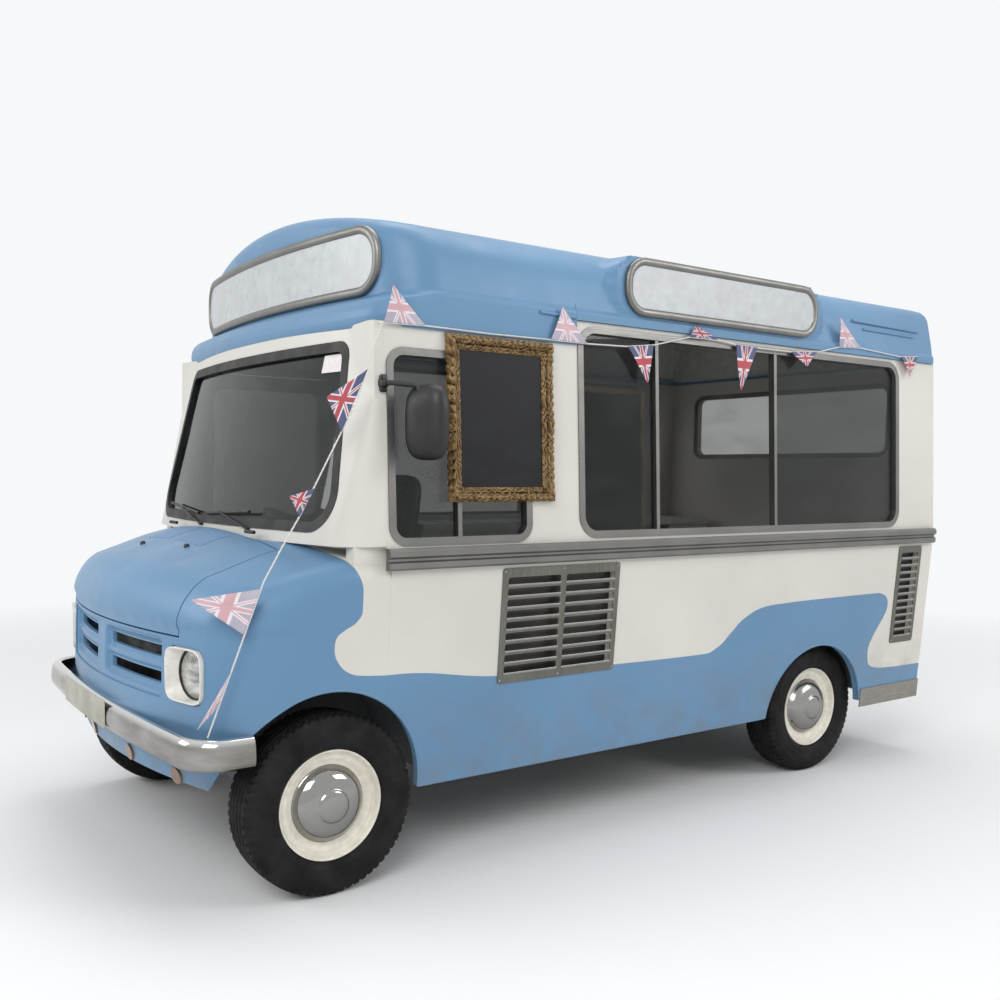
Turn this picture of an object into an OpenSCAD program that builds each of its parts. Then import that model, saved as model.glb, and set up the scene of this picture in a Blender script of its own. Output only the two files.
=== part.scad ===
// Coachbuilt serving van: glazed cab, serving window, opening bonnet and door, steered front wheels.
// Lengths in millimetres. X points forward, Y to the van's left, Z up from the ground.

/* [Overall] */
// Distance between the axles
wheelbase = 2692; // [2600:1:2800]
// Front axle to the front of the bumper
front_overhang = 560; // [550:1:600]
// Rear axle to the rearmost plate
rear_overhang = 800; // [760:1:860]
// Half width of the body at its widest line
body_half_w = 982; // [970:1:1000]
// Height of the widest line
waist_z = 1170; // [1165:1:1180]
// Inward lean of the side above the widest line, per unit of height
tumble = 0.045; // [0.03:0.005:0.06]
// Inward lean of the side below the widest line, per unit of height
tuck = 0.078; // [0.06:0.002:0.09]
// Lower edge of the body side
skirt_z = 330; // [310:1:350]
// Top of the side panels, where the roof sits
side_top_z = 2065; // [2060:1:2080]
// Thickness of the side, rear and roof panels
panel_t = 40; // [30:1:45]
// Gap between panels that are joined
seat_gap = 0.2; // [0.1:0.1:0.4]

/* [Roof] */
// Height of the roof's centre line above the side panels
roof_rise = 397; // [385:1:415]
// Radius of the crown of the roof
roof_crown_r = 3200; // [3000:10:3600]
// Radius of the roof shoulders
roof_shoulder_r = 80; // [70:1:95]
// Half width of the roof at its shoulders
roof_half_w = 900; // [885:1:910]
// How far the roof band stands out from the sides
roof_band_proud = 12; // [8:1:16]
// Front face of the roof on the centre line
roof_front_x = -165; // [-180:1:-160]
// Radius of the roof front in plan
roof_front_r = 6000; // [5000:100:8000]
// Front edge of the peak above the windscreen
peak_x = -95; // [-110:1:-90]
// Lower edge of the peak
peak_low_z = 1985; // [1980:1:1990]
// Lower edge of the roof apron beside the cab
apron_low_z = 1970; // [1960:1:1980]

/* [Windows] */
// Width of the aluminium window frames
frame_w = 28; // [22:1:32]
// How far a frame stands out from the panel
frame_proud = 5; // [3:1:8]
// How far a frame laps over the panel
frame_lap = 12; // [8:1:15]
// Depth of a frame behind the panel face
frame_depth = 30; // [24:1:36]
// Thickness of the glass
glass_t = 5; // [4:1:6]
// Rake of the windscreen in degrees
screen_rake = 12.4; // [11:0.1:14]
// Plan radius of the windscreen
screen_r = 5000; // [4500:100:6000]
// Width of the windscreen rubber
rubber_w = 38; // [30:1:45]

/* [Nose] */
// Front face of the nose on the centre line
nose_x = 525; // [520:1:530]
// Plan radius of the nose
nose_r = 3000; // [2800:50:3400]
// Thickness of the nose panels
nose_t = 30; // [24:1:32]
// Half width of the bonnet
bonnet_half_w = 655; // [640:1:660]
// Gap around the bonnet
bonnet_gap = 6; // [5:1:8]
// Rear edge of the bonnet
bonnet_rear_x = 88; // [86:1:94]
// Front lip of the bonnet
bonnet_lip_z = 915; // [910:1:925]
// Sideways position of the headlamps
lamp_y = 700; // [690:1:710]
// Height of the headlamps
lamp_z = 787; // [780:1:795]
// Radius of a headlamp lens
lamp_r = 82; // [75:1:86]

/* [Door] */
// Front edge of the driver's door
door_front_x = -212; // [-216:1:-206]
// Rear edge of the driver's door
door_rear_x = -932; // [-950:1:-920]
// Lower edge of the driver's door
door_low_z = 420; // [410:1:440]
// Upper edge of the driver's door
door_high_z = 1945; // [1935:1:1950]
// Gap around the door
door_gap = 6; // [5:1:8]

/* [Wheels] */
// Tyre radius
tyre_r = 320; // [314:1:324]
// Tyre width
tyre_w = 185; // [175:1:190]
// Rim flange radius
rim_r = 194.5; // [192:0.5:197]
// Rim width over the flanges
rim_w = 150; // [144:1:154]
// Sideways position of the front wheels
front_wheel_y = 832; // [826:1:836]
// Sideways position of the rear wheels
rear_wheel_y = 764; // [758:1:770]
// Sideways position of the steering axis
king_y = 748; // [744:1:752]
// Radius of the stub axles
stub_r = 18; // [16:1:20]
// Radial clearance of a wheel on its stub axle
stub_clear = 0.06; // [0.03:0.01:0.09]
// Radius of the hub caps
cap_r = 137; // [130:1:142]

/* [Trim] */
// Depth of the counter rail
rail_d = 30; // [24:1:34]
// Lower edge of the counter rail
rail_low_z = 1132; // [1128:1:1136]
// Upper edge of the counter rail
rail_high_z = 1208; // [1204:1:1212]
// Thickness of the sign boards
sign_t = 22; // [16:1:26]
// Width of the sign frames
sign_rim = 34; // [28:1:40]
// Half height of a louvre slot
louvre_half_h = 9; // [7:1:10]

/* [Hidden] */
front_axle_x = (wheelbase + rear_overhang - front_overhang) / 2;
roof_top_z = side_top_z + roof_rise;
body_rear = -(wheelbase + rear_overhang) + 4;
seam_low = -196;
seam_high = -150;
tumble_a = atan(tumble);
tuck_a = atan(tuck);
paint_blue = [0.44, 0.61, 0.78];
paint_cream = [0.89, 0.87, 0.82];
metal = [0.72, 0.73, 0.74];
bright = [0.80, 0.81, 0.83];
dark = [0.08, 0.08, 0.09];
clear = [0.55, 0.65, 0.68, 0.35];
axle_z = tyre_r;
nose_axis_x = nose_x - nose_r;
floor_low_z = 520;
floor_high_z = 560;
arch_front = [20, 365, 365];
arch_rear = [-(wheelbase - 72), 285, 370];
// rear edge, front edge, lower edge, upper edge, corner radius, bars, open bays
cab_window = [-806, -184, 1215, 1903, 70, [-478], []];
serving_window = [body_rear + 316, -1040, 1220, 2052, 90, [-2215, -1468], [1]];
right_window = [body_rear + 316, -1130, 1220, 2052, 90, [-2215], []];
door_window = [-870, -272, 1232, 1888, 70];
rear_window = [-720, 720, 1580, 1985, 70];
sign_y = y_side(side_top_z) + roof_band_proud + 1;
hinge_r = 10;
hinge_pin_r = 4;
door_hinge_z = [800, 1500];
bonnet_axis_z = 1244.5;
bonnet_hinge_y = 420;
// Fold between the front face and the top of the nose
bend_r = 130;
bend_x = nose_x - bend_r;
bend_z = 1001.7;
nose_slope = 20;
lamp_turn = asin(lamp_y / nose_r);
lamp_x = nose_axis_x + sqrt(nose_r * nose_r - lamp_y * lamp_y);
valance_lamps = [[234, 432], [592, 420]];
mirror_y = body_half_w + 103;
bumper_r = 9000;
bumper_half_w = body_half_w - 30;
// rear edge, front edge, lower edge, upper edge, columns, rows
louvre_vents = [[-1258, -672, 676, 1118, 2, 9], [body_rear + 98, body_rear + 298, 612, 1118, 1, 12]];
wheel_box_r = 402;
wheel_box_y = body_half_w - 106;
unit_rear_x = body_rear + 108;
unit_bay_x = body_rear + 448;
unit_fore_x = -wheelbase + 402;
unit_edge_y = body_half_w - 44;
// spindle, arm tip, blade ends, as sideways position and height
wiper_sets = [[-140, [-420, 1306], [-640, 1322], [-180, 1294]], [330, [60, 1306], [-80, 1296], [330,
  1316]]];
// Distance of the steering wheel and of the driver's seat from the middle
driver_y = body_half_w - 562;
seat_y = -driver_y - 30;
// Bunting: thickness of the cloth, width of the tape, and the planes it hangs in
cloth_t = 3;
tape_w = 7;
roof_tape_y = sign_y + 6;
post_tape_y = body_half_w + 8;
// length and height of each knot along the roof edge, from front to rear
roof_tape = [[-148, 1976], [-335, 1980], [-620, 1976], [-893, 1978], [-1090, 1978], [-1290, 1984], [-1440,
  2002], [-1640, 2050],
  [-1820, 2053], [-1930, 2043], [-2070, 2040], [-2300, 2040], [-2500, 2054], [-2650, 2088], [-2820, 2098],
    [-3160, 2080],
  [-3310, 2091]];
// knots between which a flag is sewn, and the length and height of its tip
roof_flags = [[[-170, 1977], [-335, 1980], [-200, 2104]], [[-893, 1978], [-1075, 1978], [-945, 2106]],
  [[-1290, 1984], [-1430, 2001], [-1400, 1842]], [[-1640, 2050], [-1815, 2053], [-1668, 2098]],
  [[-1930, 2043], [-2070, 2040], [-1952, 1842]], [[-2300, 2040], [-2490, 2053], [-2400, 1978]],
  [[-2655, 2088], [-2820, 2098], [-2640, 2228]], [[-3160, 2080], [-3310, 2091], [-3232, 1986]]];
post_tape = [[280, 1120], [213, 1234], [153, 1329], [46, 1525], [-54, 1708], [-110, 1877], [-152, 1977]];
post_flags = [[[-92, 1812], [6, 1600], [62, 1712]], [[102, 1416], [158, 1322], [196, 1390]]];
// the lower run swings inwards towards the bumper: distance along it, and height
wing_turn = -35;
wing_tape = [[0, 1120], [183, 612.4]];
wing_flags = [[[9, 1096], [63, 948], [226, 1062]], [[103, 836], [147, 716], [206, 648]]];

function y_side(z) = body_half_w - (z > waist_z ? tumble * (z - waist_z) : tuck * (waist_z - z));
function side_heights(z0, z1) = z0 < waist_z && z1 > waist_z ? [z0, waist_z, z1] : [z0, z1];
function side_wall(z0, z1, t) = let (h = side_heights(z0, z1))
  concat([for (z = h) [y_side(z), z]], [for (i = [len(h) - 1:-1:0]) [y_side(h[i]) - t, h[i]]]);
function side_block(z0, z1, d) = let (h = side_heights(z0, z1))
  concat([for (z = h) [y_side(z) - d, z]], [for (i = [len(h) - 1:-1:0]) [d - y_side(h[i]), h[i]]]);
function arc(u, v, r, a0, a1, n) = [for (i = [0:n]) let (a = a0 + (a1 - a0) * i / n) [u + r * cos(a), v
  + r * sin(a)]];

// Plan of the cab front: a wide arc with a round corner at each end.
function screen_plan(off) = let (w = body_half_w + 2 - off, c = 78 - off, a = asin((w - c) / (screen_r
  - 78)),
  right = concat([[-900, w]], arc(cos(a) * (screen_r - 78) - screen_r, w - c, c, 90, a, 6),
    [for (i = [11:-1:0]) [(screen_r - off) * cos(a * i / 12) - screen_r, (screen_r - off) * sin(a
      * i / 12)]]))
  concat(right, [for (i = [len(right) - 2:-1:0]) [right[i][0], -right[i][1]]]);

module along_x(x0, x1) {
  translate([x0, 0, 0]) rotate([90, 0, 90]) linear_extrude(height = x1 - x0) children();
}

module along_y(y0, y1) {
  translate([0, y1, 0]) rotate([90, 0, 0]) linear_extrude(height = y1 - y0) children();
}

module along_z(z0, z1) {
  translate([0, 0, z0]) linear_extrude(height = z1 - z0) children();
}

module both() {
  children();
  mirror([0, 1, 0]) children();
}

module place() {
  translate([front_axle_x, 0, 0]) children();
}

module box(x0, x1, y0, y1, z0, z1) {
  translate([x0, y0, z0]) cube([x1 - x0, y1 - y0, z1 - z0]);
}

module rod_y(x, z, r, y0, y1) {
  translate([x, y0, z]) rotate([-90, 0, 0]) cylinder(r = r, h = y1 - y0, $fn = 64);
}

module rod_x(y, z, r, x0, x1) {
  translate([x0, y, z]) rotate([0, 90, 0]) cylinder(r = r, h = x1 - x0, $fn = 64);
}

module rod_z(x, y, r, z0, z1) {
  translate([x, y, z0]) cylinder(r = r, h = z1 - z0, $fn = 64);
}

// A straight round bar from one point to another.
module rod(a, b, r) {
  d = b - a;
  turn = atan2(d[1], d[0]);
  lean = acos(d[2] / norm(d));
  translate(a) rotate([0, lean, turn]) cylinder(r = r, h = norm(d), $fn = 32);
}

module rrect(u0, u1, v0, v1, r) {
  translate([u0 + r, v0]) square([u1 - u0 - 2 * r, v1 - v0]);
  translate([u0, v0 + r]) square([u1 - u0, v1 - v0 - 2 * r]);
  for (u = [u0 + r, u1 - r], v = [v0 + r, v1 - r]) translate([u, v]) circle(r = r, $fn = 64);
}

// An upright shape with straight sides, round corners and a crowned top, all tangent.
module crowned(half_w, top, crown_r, corner_r, base) {
  u = half_w - corner_r;
  v = top - crown_r + sqrt(pow(crown_r - corner_r, 2) - u * u);
  touch = u * crown_r / (crown_r - corner_r);
  translate([-half_w, base]) square([2 * half_w, v - base]);
  for (s = [-1, 1]) translate([s * u, v]) circle(r = corner_r, $fn = 96);
  intersection() {
    translate([0, top - crown_r]) circle(r = crown_r, $fn = 720);
    translate([-touch, base]) square([2 * touch, top - base + 10]);
  }
}

// The frame of the upper side: Y is zero on the panel face, Z counts from the widest line.
module upper_side() {
  translate([0, body_half_w, waist_z]) rotate([tumble_a, 0, 0]) children();
}

module lower_side() {
  translate([0, body_half_w, waist_z]) rotate([-tuck_a, 0, 0]) children();
}

module window_shape(w, inset) {
  r = w[4] - inset;
  rrect(w[0] + inset, w[1] - inset, w[2] - waist_z + inset, w[3] - waist_z - inset, r);
}

module window_hole(w) {
  upper_side() along_y(-panel_t - 30, 30) window_shape(w, frame_lap);
}

module window_frame(w) {
  upper_side() {
    along_y(seat_gap, frame_proud) difference() {
      window_shape(w, 0);
      window_shape(w, frame_w);
    }
    along_y(-frame_depth, frame_proud) difference() {
      window_shape(w, frame_lap + seat_gap);
      window_shape(w, frame_w);
    }
    for (x = w[5]) translate([x - 9, -frame_depth, w[2] - waist_z + frame_w - 1])
      cube([18, frame_depth + 2, w[3] - w[2] - 2 * frame_w + 2]);
  }
}

module window_panes(w) {
  edges = concat([w[0] + frame_w + seat_gap], [for (x = w[5]) each [x - 9 - seat_gap, x + 9 + seat_gap]],
    [w[1] - frame_w - seat_gap]);
  upper_side() for (i = [0:len(w[5])]) if (len(search(i, w[6])) == 0)
    along_y(-16 - glass_t, -16) intersection() {
      window_shape(w, frame_w + seat_gap);
      translate([edges[2 * i], 0]) square([edges[2 * i + 1] - edges[2 * i], 2000]);
    }
}

module roof_section(off) {
  crowned(roof_half_w - off, roof_top_z - off, roof_crown_r - off, roof_shoulder_r - off, side_top_z - off);
  w = y_side(side_top_z) + roof_band_proud - off;
  band = side_top_z + 0.214 * roof_rise;
  knee = side_top_z + 0.496 * roof_rise;
  polygon([[-w, side_top_z - off], [w, side_top_z - off], [w, band], [roof_half_w - off, knee],
    [off - roof_half_w, knee], [-w, band]]);
}

module roof_plan(front, half_w, corner, off) {
  w = half_w - off;
  c = corner - off;
  r = roof_front_r - off;
  a = asin((w - c) / (r - c));
  mid = front - roof_front_r;
  half = concat([[body_rear + off, w]], arc(mid + cos(a) * (r - c), w - c, c, 90, a, 8), arc(mid, 0, r, a
    * 11 / 12, 0, 11));
  polygon(concat(half, [for (i = [len(half) - 2:-1:0]) [half[i][0], -half[i][1]]]));
}

module roof_form(off) {
  w = y_side(side_top_z) + roof_band_proud;
  intersection() {
    along_x(body_rear + off, 0) roof_section(off);
    along_z(side_top_z - off, roof_top_z + 50) roof_plan(roof_front_x, w, 110, off);
  }
}

module sign_fairing() {
  along_y(840, sign_y) rrect(-2545, -1210, roof_top_z - 372, roof_top_z - 124, 120);
}

module peak() {
  w = y_side(peak_low_z) + roof_band_proud;
  difference() {
    intersection() {
      translate([peak_x - roof_front_r, 0, 0]) rotate([0, 0, -12]) rotate_extrude(angle = 24, $fn = 720)
        polygon([[roof_front_r - 200, peak_low_z + seat_gap], [roof_front_r, peak_low_z + seat_gap],
          [roof_front_r, peak_low_z + 26], [roof_front_r - 56, 2082], [roof_front_r - 200, 2082]]);
      along_z(1900, 2200) roof_plan(peak_x + 3, w, 120, 0);
    }
    both() box(-400, seam_high + seat_gap, y_side(side_top_z) - panel_t - 20, 1200, 1900, side_top_z
      + seat_gap);
  }
}

module roof() {
  color(paint_blue) place() {
    difference() {
      roof_form(0);
      roof_form(panel_t);
      box(-5000, 0, -1200, 1200, 1900, side_top_z + seat_gap);
    }
    both() along_x(-1030, seam_high + 1) polygon([[y_side(apron_low_z) + seat_gap, apron_low_z],
      [y_side(apron_low_z) + roof_band_proud, apron_low_z],
      [y_side(side_top_z) + roof_band_proud, side_top_z + 2], [y_side(side_top_z) + seat_gap, side_top_z
        + 2]]);
    difference() {
      both() sign_fairing();
      roof_form(panel_t - 5);
    }
    peak();
  }
}

module arch_hole(a) {
  rod_y(a[0], a[1], a[2], 500, 1300);
}

module side_shell() {
  difference() {
    union() {
      along_x(body_rear, seam_low) polygon(side_wall(skirt_z, side_top_z, panel_t));
      along_x(seam_low - 1, seam_high) polygon(side_wall(rail_high_z, side_top_z, panel_t));
    }
    arch_hole(arch_front);
    arch_hole(arch_rear);
    difference() {
      box(-420, 0, 600, 1200, rail_high_z + 1, 2200);
      screen_form(0);
    }
  }
}

module side_left() {
  color(paint_cream) place() difference() {
    side_shell();
    window_hole(cab_window);
    window_hole(serving_window);
    for (v = louvre_vents) louvre_hole(v);
  }
}

module door_shape(grow) {
  difference() {
    rrect(door_rear_x - grow, door_front_x + grow, door_low_z - grow, door_high_z + grow, 60 + grow);
    translate([arch_front[0], arch_front[1]]) circle(r = arch_front[2] + 36 - grow, $fn = 128);
  }
}

module side_right() {
  color(paint_cream) place() mirror([0, 1, 0]) {
    difference() {
      side_shell();
      window_hole(right_window);
      along_y(700, 1200) door_shape(door_gap);
    }
    for (z = door_hinge_z) {
      rod_z(door_front_x, body_half_w + 6, hinge_pin_r, z, z + 90);
      for (d = [0, 60.3]) {
        rod_z(door_front_x, body_half_w + 6, hinge_r, z + d, z + d + 29.7);
        box(door_front_x + 3, seam_low - 1, y_side(z) - 20, body_half_w + 6, z + d + 2, z + d + 27);
      }
    }
  }
}

module driver_door() {
  color(paint_cream) place() mirror([0, 1, 0]) difference() {
    union() {
      intersection() {
        along_x(-2000, 0) polygon(side_wall(skirt_z, side_top_z, panel_t));
        along_y(700, 1200) door_shape(0);
      }
      for (z = door_hinge_z) rod_z(door_front_x, body_half_w + 6, hinge_r, z + 30, z + 60);
      for (z = door_hinge_z) box(door_front_x - 70, door_front_x, y_side(z) - 20, body_half_w + 6, z + 32,
        z + 58);
      box(door_rear_x + 60, door_rear_x + 190, body_half_w - 12, body_half_w + 22, 1010, 1032);
    }
    window_hole(door_window);
    for (z = door_hinge_z) rod_z(door_front_x, body_half_w + 6, hinge_pin_r + stub_clear, z, z + 90);
  }
}

module door_glass() {
  color(clear) place() mirror([0, 1, 0]) upper_side()
    along_y(-22, -22 + glass_t) window_shape(door_window, frame_lap + seat_gap);
}

module rear_panel() {
  color(paint_cream) place() difference() {
    intersection() {
      along_x(body_rear, body_rear + panel_t) polygon(side_block(skirt_z, side_top_z, panel_t + seat_gap));
      box(-5000, 0, -2000, 2000, 0, side_top_z);
    }
    along_x(body_rear - 50, body_rear + 100)
      rrect(rear_window[0], rear_window[1], rear_window[2], rear_window[3], rear_window[4]);
  }
}

// The cab front as one solid: raked, round in plan, with the lean of the body sides.
module screen_form(off) {
  intersection() {
    translate([70, 0, 1215]) rotate([0, -screen_rake, 0]) along_z(-300, 1200)
      polygon(screen_plan(off));
    along_x(-600, 300) polygon(side_block(1180, 2100, off));
  }
}

module screen_shape(inset) {
  wide = body_half_w - 114 - inset;
  narrow = body_half_w - 200 - inset;
  low = 1256 + inset;
  high = 1935 - inset;
  r_low = 135 - inset;
  r_high = 75 - inset;
  s = atan((wide - narrow) / (high - low));
  right = concat(arc(wide - r_low, low + r_low, r_low, -90, s, 10), arc(narrow - r_high, high - r_high,
    r_high, s, 90, 8));
  left = [for (i = [len(right) - 1:-1:0]) [-right[i][0], right[i][1]]];
  polygon(concat(right, left));
}

module cab_front() {
  color(paint_cream) place() difference() {
    intersection() {
      screen_form(0);
      union() {
        box(seam_high + seat_gap, 300, -1200, 1200, 1215, peak_low_z);
        along_x(-275, seam_high + 1) polygon(side_block(1215, peak_low_z, panel_t + seat_gap));
      }
    }
    difference() {
      screen_form(45);
      box(-600, 300, -1200, 1200, 0, 1240);
    }
    box(-600, -110, 52 - body_half_w, body_half_w - 52, 1100, 1300);
    along_x(-400, 400) screen_shape(0);
  }
  color(paint_cream) place() both() {
    rod_y(bonnet_rear_x, bonnet_axis_z, hinge_pin_r, bonnet_hinge_y - 40, bonnet_hinge_y + 40);
    for (y = [bonnet_hinge_y - 40, bonnet_hinge_y + 20.3]) {
      rod_y(bonnet_rear_x, bonnet_axis_z, 7, y, y + 19.7);
      box(30, bonnet_rear_x, y + 2, y + 17, bonnet_axis_z - 6, bonnet_axis_z + 6);
    }
  }
}

module windscreen_rubber() {
  color(dark) place() intersection() {
    difference() {
      screen_form(-5);
      screen_form(32);
    }
    along_x(-300, 400) difference() {
      screen_shape(seat_gap);
      screen_shape(rubber_w);
    }
    box(-300, 400, -1200, 1200, 1220, 1980);
  }
}

module windscreen() {
  color(clear) place() intersection() {
    difference() {
      screen_form(12);
      screen_form(12 + glass_t + 1);
    }
    along_x(-300, 400) screen_shape(rubber_w + seat_gap);
  }
}

// Half of the nose's long section, as distance from its upright axis and height.
module nose_profile(off) {
  r = bend_r - off;
  tip = [bend_x + r * sin(nose_slope), bend_z + r * cos(nose_slope)];
  back = bend_x - 1400;
  translate([-nose_axis_x, 0]) polygon(concat([[back, 300], [nose_x - 55 - off, 300], [nose_x - 40 - off,
    400], [nose_x - off, 620],
    [nose_x - off, 940]], arc(bend_x, bend_z, r, 0, 90 - nose_slope, 6),
    [[back, tip[1] + (tip[0] - back) * tan(nose_slope)]]));
}

module nose_section(off) {
  w = body_half_w - off;
  right = concat([[y_side(200) - off, 200], [w, waist_z - 70]], arc(w - 75, waist_z - 65, 75, 5, 75, 4),
    [[660, 1219 - off],
    [330, 1251 - off], [0, 1262 - off]]);
  polygon(concat(right, [for (i = [len(right) - 2:-1:0]) [-right[i][0], right[i][1]]]));
}

module nose_plan(off) {
  w = body_half_w + 1 - off;
  right = concat([[-500, w]], [for (p = arc(235, w - 175, 175, 90, 12, 5)) p], [[520, 560]]);
  polygon(concat(right, [for (i = [len(right) - 1:-1:0]) [right[i][0], -right[i][1]]]));
}

module nose_form(off) {
  intersection() {
    translate([nose_axis_x, 0, 0]) rotate([0, 0, -35]) rotate_extrude(angle = 70, $fn = 360)
      nose_profile(off);
    along_x(-400, 800) nose_section(off);
    along_z(200, 1500) nose_plan(off);
  }
}

// The headlamp's own frame: X is zero on the nose surface and points outwards.
module lamp_frame() {
  translate([lamp_x, lamp_y, lamp_z]) rotate([0, 0, lamp_turn]) children();
}

module lamp_shape(grow) {
  rrect(-108 - grow, 108 + grow, -94 - grow, 94 + grow, 45 + grow);
}

module nose() {
  color(paint_blue) place() difference() {
    nose_form(0);
    nose_form(nose_t);
    box(-600, seam_low + seat_gap, -1200, 1200, 0, 2000);
    box(-600, 800, -1200, 1200, 0, 400);
    box(-600, bonnet_rear_x - bonnet_gap - 1, -1200, 1200, 1215 - seat_gap, 2000);
    box(bonnet_rear_x - bonnet_gap - 2, 800, -bonnet_half_w - bonnet_gap, bonnet_half_w + bonnet_gap,
      bonnet_lip_z - bonnet_gap, 2000);
    both() arch_hole(arch_front);
    along_x(200, 800) rrect(-560, 560, 690, 900, 20);
    both() lamp_frame() along_x(-120, 200) lamp_shape(0);
    both() for (l = valance_lamps) rod_x(l[0], l[1], 30, 200, 800);
    bumper_arm(3);
  }
}

module grille() {
  color(paint_blue) place() difference() {
    union() {
      intersection() {
        difference() {
          nose_form(nose_t + seat_gap);
          nose_form(nose_t + 14);
        }
        along_x(200, 800) rrect(-580, 580, 670, 907, 20);
      }
      intersection() {
        difference() {
          nose_form(12);
          nose_form(nose_t + 2);
        }
        along_x(200, 800) rrect(-559.7, 559.7, 690.3, 899.7, 20);
      }
    }
    both() for (z = [728, 820]) along_x(200, 800) rrect(44, 524, z, z + 47, 14);
  }
}

module bonnet() {
  color(paint_blue) place() difference() {
    union() {
      intersection() {
        difference() {
          nose_form(0);
          nose_form(nose_t - 4);
        }
        box(bonnet_rear_x, 800, -bonnet_half_w, bonnet_half_w, bonnet_lip_z, 2000);
      }
      both() rod_y(bonnet_rear_x, bonnet_axis_z, 7, bonnet_hinge_y - 20, bonnet_hinge_y + 20);
      both() box(bonnet_rear_x, bonnet_rear_x + 30, bonnet_hinge_y - 18, bonnet_hinge_y + 18, 1222,
        bonnet_axis_z);
    }
    both() rod_y(bonnet_rear_x, bonnet_axis_z, hinge_pin_r + stub_clear, bonnet_hinge_y - 30,
      bonnet_hinge_y + 30);
    both() for (y = [bonnet_hinge_y - 41, bonnet_hinge_y + 19.7])
      rod_y(bonnet_rear_x, bonnet_axis_z, 8, y, y + 21.3);
  }
}

module bumper_plan(off) {
  rotate(-90) crowned(bumper_half_w - off, front_overhang - off, bumper_r - off, 150 - off, 100);
}

module bumper_arm(grow) {
  both() box(425, front_overhang - 12, 340 - grow, 420 + grow, 520 - grow, 596 + grow);
}

module front_bumper() {
  color(bright) place() {
    difference() {
      along_z(505, 612) bumper_plan(0);
      along_z(513, 604) bumper_plan(8);
      along_z(400, 700) bumper_plan(20);
      box(-500, 290, -1200, 1200, 400, 700);
      nose_form(-3);
    }
    difference() {
      bumper_arm(0);
      box(300, 425 + seat_gap, -1200, 1200, 400, 700);
    }
  }
}

module headlamps() {
  color(paint_cream) place() both() lamp_frame() {
    along_x(-50, 6) difference() {
      lamp_shape(-seat_gap);
      circle(r = lamp_r, $fn = 96);
    }
    rotate([0, 90, 0]) rotate_extrude($fn = 96) polygon(concat([[0, -95], [lamp_r + 6, -95], [lamp_r + 6,
      -45]],
      [for (i = [0:6]) let (a = 15.5 * (6 - i) / 6) [300 * sin(a), 300 * cos(a) - 316]]));
  }
}

module small_lamps() {
  color([0.85, 0.55, 0.2]) place() {
    both() for (l = valance_lamps) intersection() {
      nose_form(-8);
      rod_x(l[0], l[1], 29.8, nose_x - l[0] * l[0] / (2 * nose_r) - 74, 800);
    }
    both() for (z = [560, 660, 760]) along_x(body_rear - 4, body_rear - seat_gap)
      translate([y_side(z) - 90, z]) circle(r = 42, $fn = 64);
  }
}

module louvre_hole(v) {
  lower_side() along_y(-panel_t - 30, 30)
    rrect(v[0] + 20, v[1] - 20, v[2] + 20 - waist_z, v[3] - 20 - waist_z, 10);
}

module louvre_panel(v) {
  pitch = (v[3] - v[2] - 40) / v[5];
  bay = (v[1] - v[0] - 30) / v[4];
  lower_side() {
    difference() {
      along_y(seat_gap, 6) rrect(v[0], v[1], v[2] - waist_z, v[3] - waist_z, 14);
      for (c = [0:v[4] - 1], i = [0:v[5] - 1]) {
        z = v[2] - waist_z + 20 + pitch * (i + 0.5);
        x = v[0] + 15 + bay * c + 15;
        along_y(-20, 40) translate([x, z - louvre_half_h]) square([bay - 30, 2 * louvre_half_h]);
      }
    }
    for (c = [0:v[4] - 1], i = [0:v[5] - 1]) {
      z = v[2] - waist_z + 20 + pitch * (i + 0.5);
      x = v[0] + 15 + bay * c + 14;
      translate([x, 3, z + louvre_half_h - 2]) rotate([-52, 0, 0]) translate([0, -2, -24]) cube([bay - 28,
        3, 26]);
    }
  }
}

module louvre_panels() {
  color(bright) place() for (v = louvre_vents) louvre_panel(v);
}

module rail_section() {
  y = body_half_w;
  polygon([[y - 2, rail_low_z], [y + 20, rail_low_z], [y + 27, rail_low_z + 7], [y + 27, rail_low_z + 26],
    [y + 18, rail_low_z + 32], [y + 18, rail_low_z + 40], [y + rail_d, rail_low_z + 48],
    [y + rail_d, rail_high_z - 10], [y + 22, rail_high_z], [y - 2, rail_high_z]]);
}

module counter_rails() {
  color(metal) place() {
    difference() {
      along_x(body_rear + 20, -171) rail_section();
      along_x(-5000, 100) polygon(side_block(1000, 1400, -seat_gap));
    }
    mirror([0, 1, 0]) difference() {
      along_x(body_rear + 20, door_rear_x - 60) rail_section();
      along_x(-5000, 100) polygon(side_block(1000, 1400, -seat_gap));
    }
  }
}

module sign_shape(inset) {
  rrect(-2481 + inset, -1274 - inset, roof_top_z - 352 + inset, roof_top_z - 117 - inset, 105 - inset);
}

module front_sign_shape(inset) {
  rrect(-848 + inset, 848 - inset, roof_top_z - 362 + inset, roof_top_z - 110 - inset, 115 - inset);
}

module signs() {
  color(metal) place() {
    both() difference() {
      along_y(sign_y + seat_gap, sign_y + sign_t) sign_shape(0);
      along_y(sign_y + sign_t - 8, 1200) sign_shape(sign_rim);
    }
    w = y_side(side_top_z) + roof_band_proud;
    difference() {
      intersection() {
        difference() {
          along_z(2050, 2400) roof_plan(roof_front_x, w, 110, -20);
          along_z(2000, 2450) roof_plan(roof_front_x, w, 110, -seat_gap);
        }
        along_x(-400, 200) front_sign_shape(0);
      }
      intersection() {
        difference() {
          along_z(2000, 2450) roof_plan(roof_front_x, w, 110, -40);
          along_z(1950, 2500) roof_plan(roof_front_x, w, 110, -12);
        }
        along_x(-500, 300) front_sign_shape(sign_rim);
      }
    }
  }
}

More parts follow.
